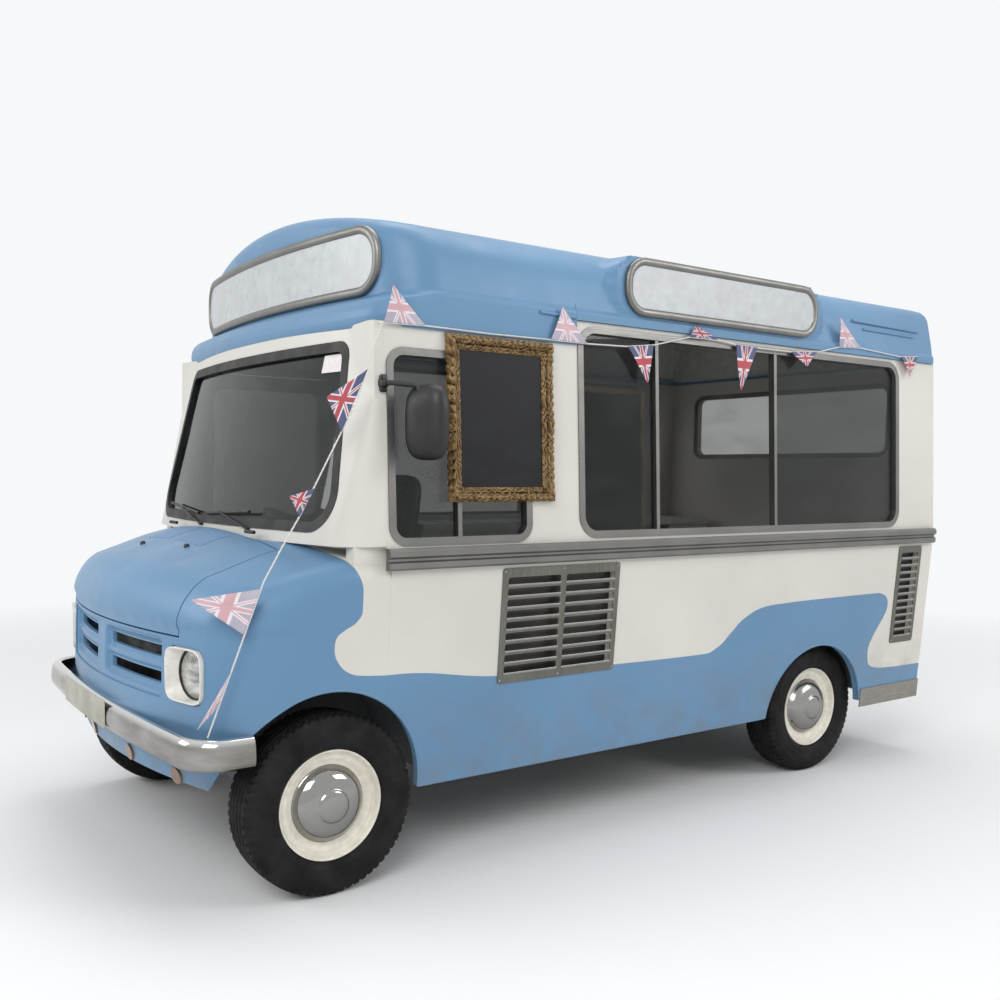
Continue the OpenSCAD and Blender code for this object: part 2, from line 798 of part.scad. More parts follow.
module menu_board() {
  color([0.62, 0.50, 0.24]) place() upper_side() difference() {
    along_y(frame_proud + seat_gap, 44) rrect(-905, -421, 193, 796, 12);
    along_y(26, 60) rrect(-845, -481, 253, 736, 6);
  }
}

// Half the width of the tape, square to it, at one of its knots.
function tape_edge(knots, i) =
  let (last = len(knots) - 1)
  let (before = knots[max(i, 1)] - knots[max(i, 1) - 1])
  let (after = knots[min(i, last - 1) + 1] - knots[min(i, last - 1)])
  let (way = before / norm(before) + after / norm(after))
  [-way[1], way[0]] * tape_w / (way * way);

// A run of tape through its knots, with a three-cornered flag sewn to some of its stretches.
module tape_shape(knots, flags) {
  last = len(knots) - 1;
  polygon(concat(
    [for (i = [0:last]) knots[i] + tape_edge(knots, i)],
    [for (i = [last:-1:0]) knots[i] - tape_edge(knots, i)]));
  for (f = flags) polygon(f);
}

module bunting() {
  low = roof_tape[len(roof_tape) - 1];
  start = roof_tape[0];
  knot = post_tape[0];
  color([0.85, 0.45, 0.5]) place() {
    along_y(roof_tape_y, roof_tape_y + cloth_t) tape_shape(roof_tape, roof_flags);
    along_y(post_tape_y, post_tape_y + cloth_t) tape_shape(post_tape, post_flags);
    translate([knot[0], post_tape_y, 0]) rotate([0, 0, wing_turn]) along_y(0, cloth_t)
      tape_shape(wing_tape, wing_flags);
    rod_y(knot[0], knot[1], 7, post_tape_y - 3, post_tape_y + cloth_t + 2);
    rod_y(start[0], start[1], 6, y_side(start[1]) + roof_band_proud + seat_gap, post_tape_y + cloth_t / 2);
    rod_y(low[0], low[1], 6, y_side(side_top_z) + roof_band_proud + seat_gap, roof_tape_y + cloth_t / 2);
  }
}

module kick_plate() {
  color(metal) place() {
    both() along_x(body_rear - 4, body_rear + 503) polygon([[y_side(297) + seat_gap, 297], [y_side(297)
      + 5, 297],
      [y_side(392) + 5, 392], [y_side(392) + seat_gap, 392]]);
    along_x(body_rear - 4, body_rear - seat_gap) polygon(side_block(297, 392, -4));
  }
}

function screen_x(y, z) = 70 - (z - 1215) * tan(screen_rake) - y * y / (2 * screen_r);
function on_screen(y, z, d) = [screen_x(y, z) + d, y, z];

// Each blade lies along the glass, just in front of it.
module wipers() {
  color(dark) place() for (w = wiper_sets) {
    rod_x(w[0], 1250, 5.5, screen_x(w[0], 1244) + 0.3, screen_x(w[0], 1250) + 15);
    rod(on_screen(w[0], 1250, 12), on_screen(w[1][0], w[1][1], 18), 4);
    rod(on_screen(w[2][0], w[2][1], 14), on_screen(w[3][0], w[3][1], 14), 6);
  }
}

module mirror_head(x, y, z) {
  translate([x, y, z]) rotate([0, 0, 14]) {
    along_x(-35, 0) rrect(-95, 95, -160, 160, 35);
    along_x(0, 12) rrect(-70, 70, -135, 135, 25);
  }
}

module mirror_left() {
  color(dark) place() {
    upper_side() box(-182, -156, 0.3, 14, 570, 630);
    rod([-169, mirror_y - 123, 1772], [-250, mirror_y - 10, 1760], 9);
    rod([-250, mirror_y - 10, 1760], [-262, mirror_y, 1660], 9);
    mirror_head(-255, mirror_y, 1650);
  }
}

module mirror_right() {
  color(dark) place() mirror([0, 1, 0]) {
    upper_side() box(-264, -236, 0.3, 14, 570, 630);
    rod([-250, mirror_y - 123, 1772], [-300, mirror_y - 10, 1760], 9);
    rod([-300, mirror_y - 10, 1760], [-312, mirror_y, 1660], 9);
    mirror_head(-305, mirror_y, 1650);
  }
}

module fixed_glass() {
  color(clear) place() {
    window_panes(cab_window);
    window_panes(serving_window);
    mirror([0, 1, 0]) window_panes(right_window);
    along_x(body_rear + 14, body_rear + 14 + glass_t)
      rrect(rear_window[0] + frame_w, rear_window[1] - frame_w, rear_window[2] + frame_w,
        rear_window[3] - frame_w, rear_window[4] - frame_w);
  }
}

module window_frames() {
  color(metal) place() {
    window_frame(cab_window);
    window_frame(serving_window);
    mirror([0, 1, 0]) window_frame(right_window);
    along_x(body_rear - 4, body_rear + frame_depth) difference() {
      rrect(rear_window[0] + seat_gap, rear_window[1] - seat_gap, rear_window[2] + seat_gap,
        rear_window[3] - seat_gap, rear_window[4] - seat_gap);
      rrect(rear_window[0] + frame_w - seat_gap, rear_window[1] - frame_w + seat_gap, rear_window[2]
        + frame_w - seat_gap,
        rear_window[3] - frame_w + seat_gap, rear_window[4] - frame_w + seat_gap);
    }
  }
}

// A round housing over a wheel, closed on its inner side.
module wheel_box(x, z, r, y0, y1) {
  difference() {
    rod_y(x, z, r + 12, y0, y1);
    rod_y(x, z, r, y0 + 12, y1 + 50);
    box(x - 900, x + 900, 0, 2000, z - 900, z + 40);
  }
}

module wheel_room(x, z, r, y0, y1) {
  rod_y(x, z, r, y0 + 12, y1 + 50);
}

module floor() {
  w = y_side(floor_low_z) - panel_t - seat_gap;
  color([0.35, 0.36, 0.37]) place() difference() {
    union() {
      box(body_rear + panel_t + seat_gap, -430, -w, w, floor_low_z, floor_high_z);
      box(-440, 0, -515, 515, floor_low_z, floor_high_z);
      along_x(-18, 0) polygon([[-wheel_box_y - 4, floor_low_z], [wheel_box_y + 4, floor_low_z],
        [wheel_box_y + 20, 1060],
        [wheel_box_y - 26, 1138], [600, 1160], [-600, 1160], [26 - wheel_box_y, 1138], [-wheel_box_y - 20,
          1060]]);
      both() wheel_box(0, 330, wheel_box_r, 515, wheel_box_y);
      both() wheel_box(-wheelbase + 20, 330, wheel_box_r - 20, 600, wheel_box_y);
    }
    both() wheel_room(0, 330, wheel_box_r, 515, wheel_box_y);
    both() wheel_room(-wheelbase + 20, 330, wheel_box_r - 20, 600, wheel_box_y);
    both() box(-140, 140, 500, 560, 0, 495);
    box(150, 900, -1000, 1000, 0, 2000);
  }
}

module chassis() {
  color(dark) place() {
    difference() {
      union() {
        both() along_x(body_rear + 68, 412) polygon([[340, 400], [400, 400], [400, 406], [347, 406], [347,
          514], [400, 514],
          [400, 519.8], [340, 519.8]]);
        for (x = [body_rear + 68, -wheelbase + 492, -920, -340, 330]) box(x, x + 60, -341, 341, 420, 500);
        box(-80, 80, -420, 420, 250, 400);
        both() box(340, 425, 340, 420, 500, 600);
        both() box(-80, 80, 335, 400, 390, 440);
        both() for (x = [572, -538]) box(x - wheelbase, x - wheelbase + 50, 345, 520, 410, 500);
      }
      for (x = [83, 113], y = [-150, 150]) rod_z(body_rear + x, y, 5.5, 400, 520);
    }
  }
}

module ring(r, wire) {
  rotate_extrude($fn = 64) translate([r, 0]) circle(r = wire, $fn = 24);
}

module front_suspension() {
  color([0.2, 0.2, 0.21]) place() both() {
    for (x = [-70, 50]) box(x, x + 20, 420 + seat_gap, 450, 260, 480);
    for (s = [-1, 1]) {
      rod([s * 60, 430, 275], [0, king_y, 205], 14);
      rod([s * 60, 430, 465], [0, king_y, 450], 11);
    }
    rod_z(0, king_y, 24, 180, 224.7);
    rod_z(0, king_y, 22, 430.3, 468);
    rod_z(0, 520, 46, 235, 410);
    for (i = [0:5]) translate([0, 520, 245 + 32 * i]) ring(52, 8);
    box(-50, 50, 425, 560, 405, 420);
  }
}

module knuckle() {
  rod_z(0, king_y, 20, 225, 430);
  rod_y(0, axle_z, 46, king_y - 24, king_y + 30);
  rod_y(0, axle_z, 90, king_y + 14, king_y + 30);
  rod_y(0, axle_z, stub_r, king_y, front_wheel_y + 54);
  box(-130, 0, king_y - 40, king_y - 14, 268, 290);
}

module knuckle_left() {
  color([0.3, 0.3, 0.31]) place() knuckle();
}

module knuckle_right() {
  color([0.3, 0.3, 0.31]) place() mirror([0, 1, 0]) knuckle();
}

module rear_axle() {
  color([0.22, 0.22, 0.23]) place() translate([-wheelbase, 0, axle_z]) {
    rotate([-90, 0, 0]) translate([0, 0, -650]) cylinder(r = 38, h = 1300, $fn = 64);
    sphere(r = 125, $fn = 96);
    both() {
      translate([0, 640, 0]) rotate([-90, 0, 0]) cylinder(r = 125, h = 62, $fn = 96);
      translate([0, 700, 0]) rotate([-90, 0, 0]) cylinder(r = stub_r, h = rear_wheel_y + 54 - 700,
        $fn = 64);
      box(-28, 28, 440, 520, -60, -30);
    }
  }
}

// Each leaf is a flat arc; the eyes hang on the chassis brackets.
module leaf_springs() {
  color([0.25, 0.25, 0.26]) place() both() {
    along_y(450, 510) {
      for (i = [0:2]) intersection() {
        translate([-wheelbase, 259.8 - 8 * i + 2400]) difference() {
          circle(r = 2408.2, $fn = 1440);
          circle(r = 2400, $fn = 1440);
        }
        translate([-wheelbase - 560 + 150 * i, 0]) square([1120 - 300 * i, 380]);
      }
    }
    for (s = [-1, 1]) box(-wheelbase + s * 545 - 22, -wheelbase + s * 545 + 22, 455, 505, 312, 409.8);
  }
}

module propshaft() {
  color([0.3, 0.3, 0.32]) place() rod([-861.4, 0, 375], [-wheelbase + 125.4, 0, 325], 34);
}

module drive_motor() {
  color([0.4, 0.42, 0.44]) place() box(-919.8 + 60.2, -340.2, -180, 180, 345, 515);
}

module battery_boxes() {
  color([0.3, 0.32, 0.34]) place() both() box(-wheelbase + 672, -960, 400.4, body_half_w - 142, 345, 519.6);
}

module dash_shape(grow) {
  polygon([[-18.4 + grow, 860 - grow], [-18.4 + grow, 1150 + grow], [-110, 1160 + grow], [-270, 1150
    + grow], [-330 - grow, 1120],
    [-300 - grow, 1000], [-220 - grow, 860 - grow]]);
}

module dashboard() {
  color([0.16, 0.17, 0.19]) place() along_y(142 - body_half_w, body_half_w - 142) dash_shape(0);
}

module steering_wheel() {
  color(dark) place() {
    translate([-520, -driver_y, 1165]) rotate([0, -38, 0]) {
      rotate_extrude($fn = 96) translate([205, 0]) circle(r = 13, $fn = 32);
      for (a = [0, 120, 240]) rotate([0, 0, a]) translate([0, -14, -5]) cube([205, 28, 10]);
      cylinder(r = 42, h = 30, center = true, $fn = 48);
    }
    difference() {
      rod([-520, -driver_y, 1165], [-270, -driver_y, 969], 20);
      along_y(-600, 0) dash_shape(0.4);
    }
  }
}

module seats() {
  color([0.18, 0.18, 0.2]) place() {
    box(-1000, -560, seat_y - 230, seat_y + 230, floor_high_z + seat_gap, 840);
    along_x(-1010, -545) rrect(seat_y - 240, seat_y + 240, 835, 930, 40);
    translate([-1000, 0, 900]) rotate([0, -10, 0]) along_x(0, 95)
      rrect(seat_y - 230, seat_y + 230, -10, 560, 60);
  }
}

module serving_counter() {
  y1 = y_side(floor_high_z) - panel_t - 2;
  color([0.8, 0.8, 0.78]) place() {
    difference() {
      box(unit_fore_x, -1060, 540, y1 - 40, floor_high_z + seat_gap, 1180);
      both() wheel_room(-wheelbase + 20, 330, wheel_box_r + 12, 560, 880);
    }
    box(unit_rear_x, -1060, 520, unit_edge_y, 1170, 1204);
    box(unit_rear_x, unit_bay_x, 540, y1 - 40, floor_high_z + seat_gap, 1180);
  }
}

module back_unit() {
  y1 = y_side(floor_high_z) - panel_t - 2;
  color([0.83, 0.83, 0.82]) place() {
    box(unit_fore_x, -1240, 40 - y1, -520, floor_high_z + seat_gap, 1180);
    box(unit_rear_x, unit_bay_x, 40 - y1, -520, floor_high_z + seat_gap, 1180);
    box(unit_rear_x, -1240, -unit_edge_y, -500, 1170, 1204);
  }
}

module tyre() {
  b = rim_r - 16.2;
  h = rim_w / 2;
  right = [[b, 40], [b, h - 9.6], [rim_r + 0.4, h - 7.6], [rim_r + 4, h + 3], [252, tyre_w / 2], [288,
    tyre_w / 2 - 3], [310, 78],
    [tyre_r - 3, 64], [tyre_r, 40]];
  left = [for (i = [len(right) - 1:-1:0]) [right[i][0], -right[i][1]]];
  rotate([-90, 0, 0]) rotate_extrude($fn = 120) polygon(concat(right, left));
}

module rim() {
  h = rim_w / 2;
  b = rim_r - 16.5;
  c = stub_r + stub_clear;
  rotate([-90, 0, 0]) rotate_extrude($fn = 120) polygon([[c, 6], [c, 40], [50, 40], [62, 30], [100, 30],
    [130, 42], [b - 24, 14],
    [b - 24, 34], [b - 6, 46], [b - 4, h - 4], [rim_r - 3, h], [rim_r, h - 3], [rim_r, h - 7], [b, h - 9],
      [b - 0.2, 40],
    [b - 18, 28], [b - 18, -32], [b - 0.2, -40], [b, 9 - h], [rim_r, 7 - h], [rim_r, 3 - h], [rim_r - 3,
      -h], [b - 4, 4 - h],
    [b - 6, -48], [b - 24, -38], [b - 24, 4], [130, 34], [100, 22], [62, 6]]);
}

module hubcap() {
  h = rim_w / 2;
  rotate([-90, 0, 0]) rotate_extrude($fn = 180)
    polygon([[0, h + 26], [48, h + 25], [60, h + 20], [66, h + 11], [76, h + 10], [104, h + 6], [124, h
      - 6], [cap_r, h - 26],
      [cap_r - 3, h - 32.8], [cap_r - 8, h - 32.8], [cap_r - 8, h - 26], [120, h - 12], [100, h + 1], [60,
        h + 5],
      [44, h + 19], [0, h + 20]]);
}

module wheel_spot(x, y) {
  place() translate([x, y, axle_z]) children();
}

module wheel_fl() {
  wheel_spot(0, front_wheel_y) children();
}

module wheel_fr() {
  wheel_spot(0, -front_wheel_y) mirror([0, 1, 0]) children();
}

module wheel_rl() {
  wheel_spot(-wheelbase, rear_wheel_y) children();
}

module wheel_rr() {
  wheel_spot(-wheelbase, -rear_wheel_y) mirror([0, 1, 0]) children();
}

roof();
side_left();
side_right();
rear_panel();
cab_front();
nose();
grille();
bonnet();
driver_door();
door_glass();
windscreen();
windscreen_rubber();
fixed_glass();
window_frames();
counter_rails();
louvre_panels();
signs();
menu_board();
bunting();
kick_plate();
front_bumper();
headlamps();
small_lamps();
wipers();
mirror_left();
mirror_right();
floor();
chassis();
front_suspension();
knuckle_left();
knuckle_right();
rear_axle();
leaf_springs();
propshaft();
drive_motor();
battery_boxes();
dashboard();
steering_wheel();
seats();
serving_counter();
back_unit();
color(dark) wheel_fl() tyre();  // tyre_fl
color(dark) wheel_fr() tyre();  // tyre_fr
color(dark) wheel_rl() tyre();  // tyre_rl
color(dark) wheel_rr() tyre();  // tyre_rr
color(paint_cream) wheel_fl() rim();  // rim_fl
color(paint_cream) wheel_fr() rim();  // rim_fr
color(paint_cream) wheel_rl() rim();  // rim_rl
color(paint_cream) wheel_rr() rim();  // rim_rr
color(bright) wheel_fl() hubcap();  // hubcap_fl
color(bright) wheel_fr() hubcap();  // hubcap_fr
color(bright) wheel_rl() hubcap();  // hubcap_rl
color(bright) wheel_rr() hubcap();  // hubcap_rr
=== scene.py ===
# %% [markdown]
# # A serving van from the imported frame
# The van's construction is already there as separate solids with real joints. This lesson loads them as a
# fixed frame, and then gives the van its looks: smooth pressed panels, chrome, glass, tyres and small
# fittings, each with a finish made from shader nodes.

# %% Load the frame
import math

import bmesh
import bpy
import numpy as np
from mathutils import Matrix, Vector


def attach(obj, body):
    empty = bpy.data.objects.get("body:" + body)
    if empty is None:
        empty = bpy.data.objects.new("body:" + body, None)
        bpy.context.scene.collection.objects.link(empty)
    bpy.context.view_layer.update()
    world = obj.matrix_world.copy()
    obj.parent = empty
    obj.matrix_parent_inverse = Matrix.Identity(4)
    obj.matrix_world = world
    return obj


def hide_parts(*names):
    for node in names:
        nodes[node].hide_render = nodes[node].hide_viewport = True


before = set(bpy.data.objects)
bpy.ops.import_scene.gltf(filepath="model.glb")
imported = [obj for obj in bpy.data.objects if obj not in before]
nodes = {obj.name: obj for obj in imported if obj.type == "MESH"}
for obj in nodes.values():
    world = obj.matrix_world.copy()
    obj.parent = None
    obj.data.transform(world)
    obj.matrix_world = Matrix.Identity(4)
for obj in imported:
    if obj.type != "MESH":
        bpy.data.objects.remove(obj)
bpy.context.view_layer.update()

# %% [markdown]
# ## The photograph's camera
# The camera stands a little above the bonnet, in front of the serving side. Its place and angles were
# solved from wheel centres, window corners and edges whose real places are known. X in all the sizes below
# counts from the front axle, so one number moves them into the frame.

# %% Camera
AXLE_X = 1.466
CAMERA_AT = np.array([1.6172 + AXLE_X, 4.1018, 1.4681])
YAW, PITCH, ROLL = np.radians([-126.047, -4.428, -0.598])
FOCAL = 1.04539

ahead = np.array([math.cos(YAW) * math.cos(PITCH), math.sin(YAW) * math.cos(PITCH), math.sin(PITCH)])
level = np.cross(ahead, [0, 0, 1])
level /= np.linalg.norm(level)
down = np.cross(ahead, level)
right = math.cos(ROLL) * level + math.sin(ROLL) * down
under = math.cos(ROLL) * down - math.sin(ROLL) * level

camera = bpy.data.objects.new("camera", bpy.data.cameras.new("camera"))
bpy.context.scene.collection.objects.link(camera)
rows = np.column_stack([right, -under, -ahead, CAMERA_AT])
camera.matrix_world = Matrix([*rows.tolist(), [0, 0, 0, 1]])
camera.data.sensor_width = 36
camera.data.lens = 36 * FOCAL
camera.data.shift_y = 0.055
bpy.context.scene.camera = camera
print("camera at", CAMERA_AT.round(3), "lens", round(camera.data.lens, 2), "mm")

# %% [markdown]
# ## Floor and light
# A studio floor is a wide pale sheet, and the light comes from large soft boxes, so that curved panels show
# long gentle highlights. The world gives an even fill. What the camera, metal and glass see of the world is
# a pale backdrop of its own colour, so that it stays clean at a plain level of light.

# %% Stage
floor_mesh = bpy.data.meshes.new("studio_floor")
floor_mesh.from_pydata([(-60, -60, 0), (60, -60, 0), (60, 60, 0), (-60, 60, 0)], [], [(0, 1, 2, 3)])
floor_piece = bpy.data.objects.new("studio_floor", floor_mesh)
bpy.context.scene.collection.objects.link(floor_piece)

BACKDROP = (0.93, 0.94, 0.95, 1)


def seen_rays(tree):
    """1 for rays of the camera and for those that metal and glass pass on, 0 for rays that carry light."""
    kind = tree.nodes.new("ShaderNodeLightPath").outputs
    total = kind["Is Camera Ray"]
    for name in ("Is Glossy Ray", "Is Transmission Ray"):
        larger = tree.nodes.new("ShaderNodeMath")
        larger.operation = "MAXIMUM"
        tree.links.new(total, larger.inputs[0])
        tree.links.new(kind[name], larger.inputs[1])
        total = larger.outputs[0]
    return total


world = bpy.data.worlds.new("studio")
bpy.context.scene.world = world
world.use_nodes = True
sky = world.node_tree
fill = sky.nodes["Background"]
fill.inputs["Color"].default_value = (0.95, 0.97, 1.0, 1)
fill.inputs["Strength"].default_value = 0.43
seen = sky.nodes.new("ShaderNodeBackground")
seen.inputs["Color"].default_value = BACKDROP
choose = sky.nodes.new("ShaderNodeMixShader")
sky.links.new(seen_rays(sky), choose.inputs[0])
sky.links.new(fill.outputs[0], choose.inputs[1])
sky.links.new(seen.outputs[0], choose.inputs[2])
sky.links.new(choose.outputs[0], sky.nodes["World Output"].inputs[0])

# Each soft box: place, aim, width, height, watts.
SOFT_BOXES = [
    ((6.5, 6.0, 6.5), (0.2, 0.4, 1.2), 5.0, 4.0, 395),
    ((-6.0, 7.5, 5.5), (-1.5, 0.5, 1.2), 5.0, 3.5, 275),
    ((7.5, -3.5, 4.5), (1.5, 0.0, 1.0), 4.0, 3.0, 155),
    ((-1.0, -0.5, 9.0), (-0.5, 0.0, 2.0), 7.0, 4.0, 305),
]
for number, (at, aim, wide, tall, watts) in enumerate(SOFT_BOXES):
    lamp = bpy.data.lights.new(f"soft_box_{number}", "AREA")
    lamp.shape = "RECTANGLE"
    lamp.size = wide
    lamp.size_y = tall
    lamp.energy = watts
    holder = bpy.data.objects.new(lamp.name, lamp)
    bpy.context.scene.collection.objects.link(holder)
    holder.location = at
    holder.rotation_euler = (Vector(aim) - Vector(at)).to_track_quat("-Z", "Y").to_euler()
bpy.context.scene.view_settings.view_transform = "Standard"
print("soft boxes", len(SOFT_BOXES))

# %% [markdown]
# ## A small helper for finishes
# Every finish below is a set of shader nodes on the object's own coordinates. The frame keeps all objects
# at the origin, so those coordinates are metres on the van: a paint edge or a dust line can be written as a
# real height. The helper makes a node, sets its inputs, and links any input that is given as a socket.

# %% Finish helper
class Finish:
    """One material being made. Inputs given as sockets are linked, other inputs are set."""

    def __init__(self, name):
        """A plain new material, with the place on the van as a vector and as three lengths."""
        self.material = bpy.data.materials.new(name)
        self.material.use_nodes = True
        self.tree = self.material.node_tree
        self.shader = self.tree.nodes["Principled BSDF"]
        self.place = self.add("TexCoord").outputs["Object"]
        self.axes = self.add("SeparateXYZ", {0: self.place}).outputs

    def put(self, node, inputs):
        """Links or sets the inputs of a node, named or counted."""
        for key, value in inputs.items():
            if isinstance(value, bpy.types.NodeSocket):
                self.tree.links.new(value, node.inputs[key])
            else:
                node.inputs[key].default_value = value

    def add(self, kind, inputs=None, **settings):
        """A new shader node with its settings and inputs."""
        node = self.tree.nodes.new("ShaderNode" + kind)
        for key, value in settings.items():
            setattr(node, key, value)
        self.put(node, inputs or {})
        return node

    def look(self, **inputs):
        """Gives the shader its inputs, whose spaces are written as underscores, and returns the material."""
        self.put(self.shader, {key.replace("_", " "): value for key, value in inputs.items()})
        return self.material

    def math(self, operation, a, b=0.0, c=0.0):
        """One sum, product or comparison of up to three values."""
        return self.add("Math", {0: a, 1: b, 2: c}, operation=operation).outputs[0]

    def noise(self, scale, detail=3.0, stretch=(1, 1, 1)):
        """Noise of about 0 to 1 with scale cells to the metre, times stretch along each axis."""
        spread = self.add("Mapping", {"Vector": self.place, "Scale": stretch}).outputs[0]
        return self.add("TexNoise", {"Vector": spread, "Scale": scale, "Detail": detail}).outputs[0]

    def span(self, value, low, high, to_low=0.0, to_high=1.0):
        """The range from low to high carried over evenly to another range, and held at its ends."""
        return self.add("MapRange", {0: value, 1: low, 2: high, 3: to_low, 4: to_high}).outputs[0]

    def blend(self, share, a, b, how="MIX"):
        """Colour a where share is 0 and colour b where it is 1."""
        node = self.add("Mix", data_type="RGBA", blend_type=how)
        self.put(node, {0: share, 6: a, 7: b})
        return node.outputs[2]

    def bump(self, height, distance, strength=1.0):
        """A normal tilted as if the surface rose by distance, in metres, where height goes from 0 to 1."""
        return self.add("Bump", {"Height": height, "Distance": distance, "Strength": strength}).outputs[0]


def rgb(red, green, blue):
    """A screen colour of 0 to 255 as the linear colour that a shader takes."""
    c = np.array([red, green, blue]) / 255
    linear = np.where(c <= 0.04045, c / 12.92, ((c + 0.055) / 1.055) ** 2.4)
    return (*linear.tolist(), 1.0)


print("mid grey as a shader takes it", round(rgb(128, 128, 128)[0], 3))

# %% [markdown]
# ## Two-tone paint
# The van is cream above a waving blue skirt, and its nose is blue up to a scalloped edge on the wing. A
# sign painter masks such an edge by eye along a curve. Here three curves hold it: the height of the skirt's
# edge along the van, the rear scroll as a length for each height, and the wing's scallop as a length for
# each height. Paint on an old van isn't even, so a slow cloud shifts its tone, a fine bump gives it the
# soft ripple of brushed coach enamel, and road dust gathers near the bottom.

# %% Paint
BLUE = rgb(101, 140, 174)
CREAM = rgb(214, 211, 203)
SKIRT_EDGE = [(-4.0, 0.88), (-3.07, 0.885), (-2.60, 0.884), (-2.33, 0.880), (-2.18, 0.872), (-2.06, 0.835),
              (-1.96, 0.765), (-1.88, 0.708), (-1.80, 0.686), (-1.27, 0.693), (-0.68, 0.708), (-0.2, 0.762),
              (0.8, 0.762)]
REAR_SCROLL = [(0.0, -4.0), (0.470, -4.0), (0.478, -3.50), (0.486, -3.15), (0.505, -3.050), (0.55, -3.018),
               (0.592, -3.014), (0.66, -3.045), (0.72, -3.090), (0.77, -3.128), (0.812, -3.144),
               (0.85, -3.135), (0.875, -3.10), (0.885, -3.06), (1.4, -3.0)]
WING_SCALLOP = [(0.0, 0.9), (0.758, 0.9), (0.762, -0.20), (0.768, -0.11), (0.785, -0.045), (0.82, -0.005),
                (0.872, 0.014), (0.91, 0.008), (0.935, -0.022), (0.96, -0.066), (1.0, -0.088), (1.06, -0.088),
                (1.12, -0.072), (1.17, -0.044), (1.205, -0.016), (1.22, 0.02), (1.245, 0.06), (1.262, 0.075),
                (1.5, 0.9)]


def curve_of(finish, value, points, reach, height):
    """A float curve through the points, as a function of value. reach and height are (low, high) ranges."""
    node = finish.add("FloatCurve", {"Value": finish.span(value, *reach)})
    line = node.mapping.curves[0]
    a, b = np.array(points).T
    along = np.clip((a - reach[0]) / (reach[1] - reach[0]), 0, 1)
    tall = np.clip((b - height[0]) / (height[1] - height[0]), 0, 1)
    spots = np.column_stack([along, tall]).tolist()
    line.points[0].location = spots[0]
    line.points[1].location = spots[-1]
    for spot in spots[1:-1]:
        line.points.new(*spot)
    for point in line.points:
        point.handle_type = "AUTO_CLAMPED"
    node.mapping.update()
    return finish.span(node.outputs[0], 0.0, 1.0, *height)


def two_tone(finish):
    """1 where the van is blue and 0 where it is cream, from the length and height on the van."""
    length = finish.math("SUBTRACT", finish.axes[0], AXLE_X)
    height = finish.axes[2]
    skirt_top = curve_of(finish, length, SKIRT_EDGE, (-4.0, 0.8), (0.0, 1.0))
    scroll_front = curve_of(finish, height, REAR_SCROLL, (0.0, 1.4), (-4.0, 0.0))
    scallop_rear = curve_of(finish, height, WING_SCALLOP, (0.0, 1.5), (-0.3, 0.9))
    skirt = finish.math("LESS_THAN", height, skirt_top)
    scroll = finish.math("GREATER_THAN", length, scroll_front)
    scallop = finish.math("GREATER_THAN", length, scallop_rear)
    return finish.math("MAXIMUM", finish.math("MULTIPLY", skirt, scroll), scallop)


def paint(name, tone):
    """Brushed coach enamel. tone is a colour, or None for the two-tone scheme."""
    finish = Finish(name)
    colour = finish.blend(two_tone(finish), CREAM, BLUE) if tone is None else tone
    cloud = finish.span(finish.noise(1.7, 4), 0.3, 0.7, 0.93, 1.05)
    toned = finish.add("HueSaturation", {"Color": colour, "Value": cloud}).outputs[0]
    low = finish.span(finish.axes[2], 0.28, 0.75, 0.55, 0.0)
    grime = finish.math("MULTIPLY", low, finish.span(finish.noise(9, 6), 0.35, 0.75))
    dusty = finish.blend(grime, toned, rgb(120, 112, 100))
    speck = finish.span(finish.noise(260, 2), 0.70, 0.78, 0.0, 0.25)
    worn = finish.blend(speck, dusty, rgb(96, 92, 86))
    ripple = finish.math("ADD", finish.noise(38, 2), finish.math("MULTIPLY", finish.noise(420, 2), 0.25))
    return finish.look(
        Base_Color=worn, Roughness=finish.span(finish.noise(6, 5), 0.3, 0.7, 0.34, 0.48),
        Coat_Weight=0.1, Coat_Roughness=0.3, Specular_IOR_Level=0.3, Normal=finish.bump(ripple, 0.0009, 0.5))


PAINTS = {
    "two_tone": paint("two_tone_paint", None),
    "blue": paint("blue_paint", BLUE),
    "cream": paint("cream_paint", CREAM),
}
print("paints", list(PAINTS))

# %% [markdown]
# ## Metals, mouldings and glass
# The window frames, rails and louvre panels are old aluminium: grey, a little dull, with fine lines along
# the extrusion and a bloom of oxide. The hub caps are chrome, nearly a mirror, softened by a haze of dust.
# The chassis is black-painted steel with road dirt. Glass is a thin dark film whose share of light is set,
# because that renders with less grain than a solid pane that bends light.

# %% Metal finishes
def brushed(name, colour, along, rough=(0.3, 0.5), oxide=0.35):
    """Drawn metal: noise pulled out along one axis gives the draw lines, slow noise the oxide bloom."""
    finish = Finish(name)
    lines = finish.noise(60, 3, along)
    bloom = finish.math("MULTIPLY", finish.span(finish.noise(5, 6), 0.42, 0.72), oxide)
    streaked = finish.blend(finish.span(lines, 0.3, 0.7, 0.0, 0.3), colour, rgb(98, 98, 98))
    aged = finish.blend(bloom, streaked, rgb(146, 145, 140))
    return finish.look(
        Base_Color=aged, Metallic=0.92, Roughness=finish.span(lines, 0.25, 0.75, *rough),
        Normal=finish.bump(lines, 0.0004, 0.5))


def chrome(name):
    """Plated steel: a bright mirror with thin hazy patches and tiny pits."""
    finish = Finish(name)
    haze = finish.span(finish.noise(4, 6), 0.42, 0.75, 0.06, 0.26)
    pits = finish.span(finish.noise(330, 2), 0.70, 0.76)
    return finish.look(
        Base_Color=finish.blend(pits, rgb(150, 149, 146), rgb(90, 82, 72)), Metallic=1.0, Roughness=haze,
        Normal=finish.bump(pits, 0.0002, 0.4))


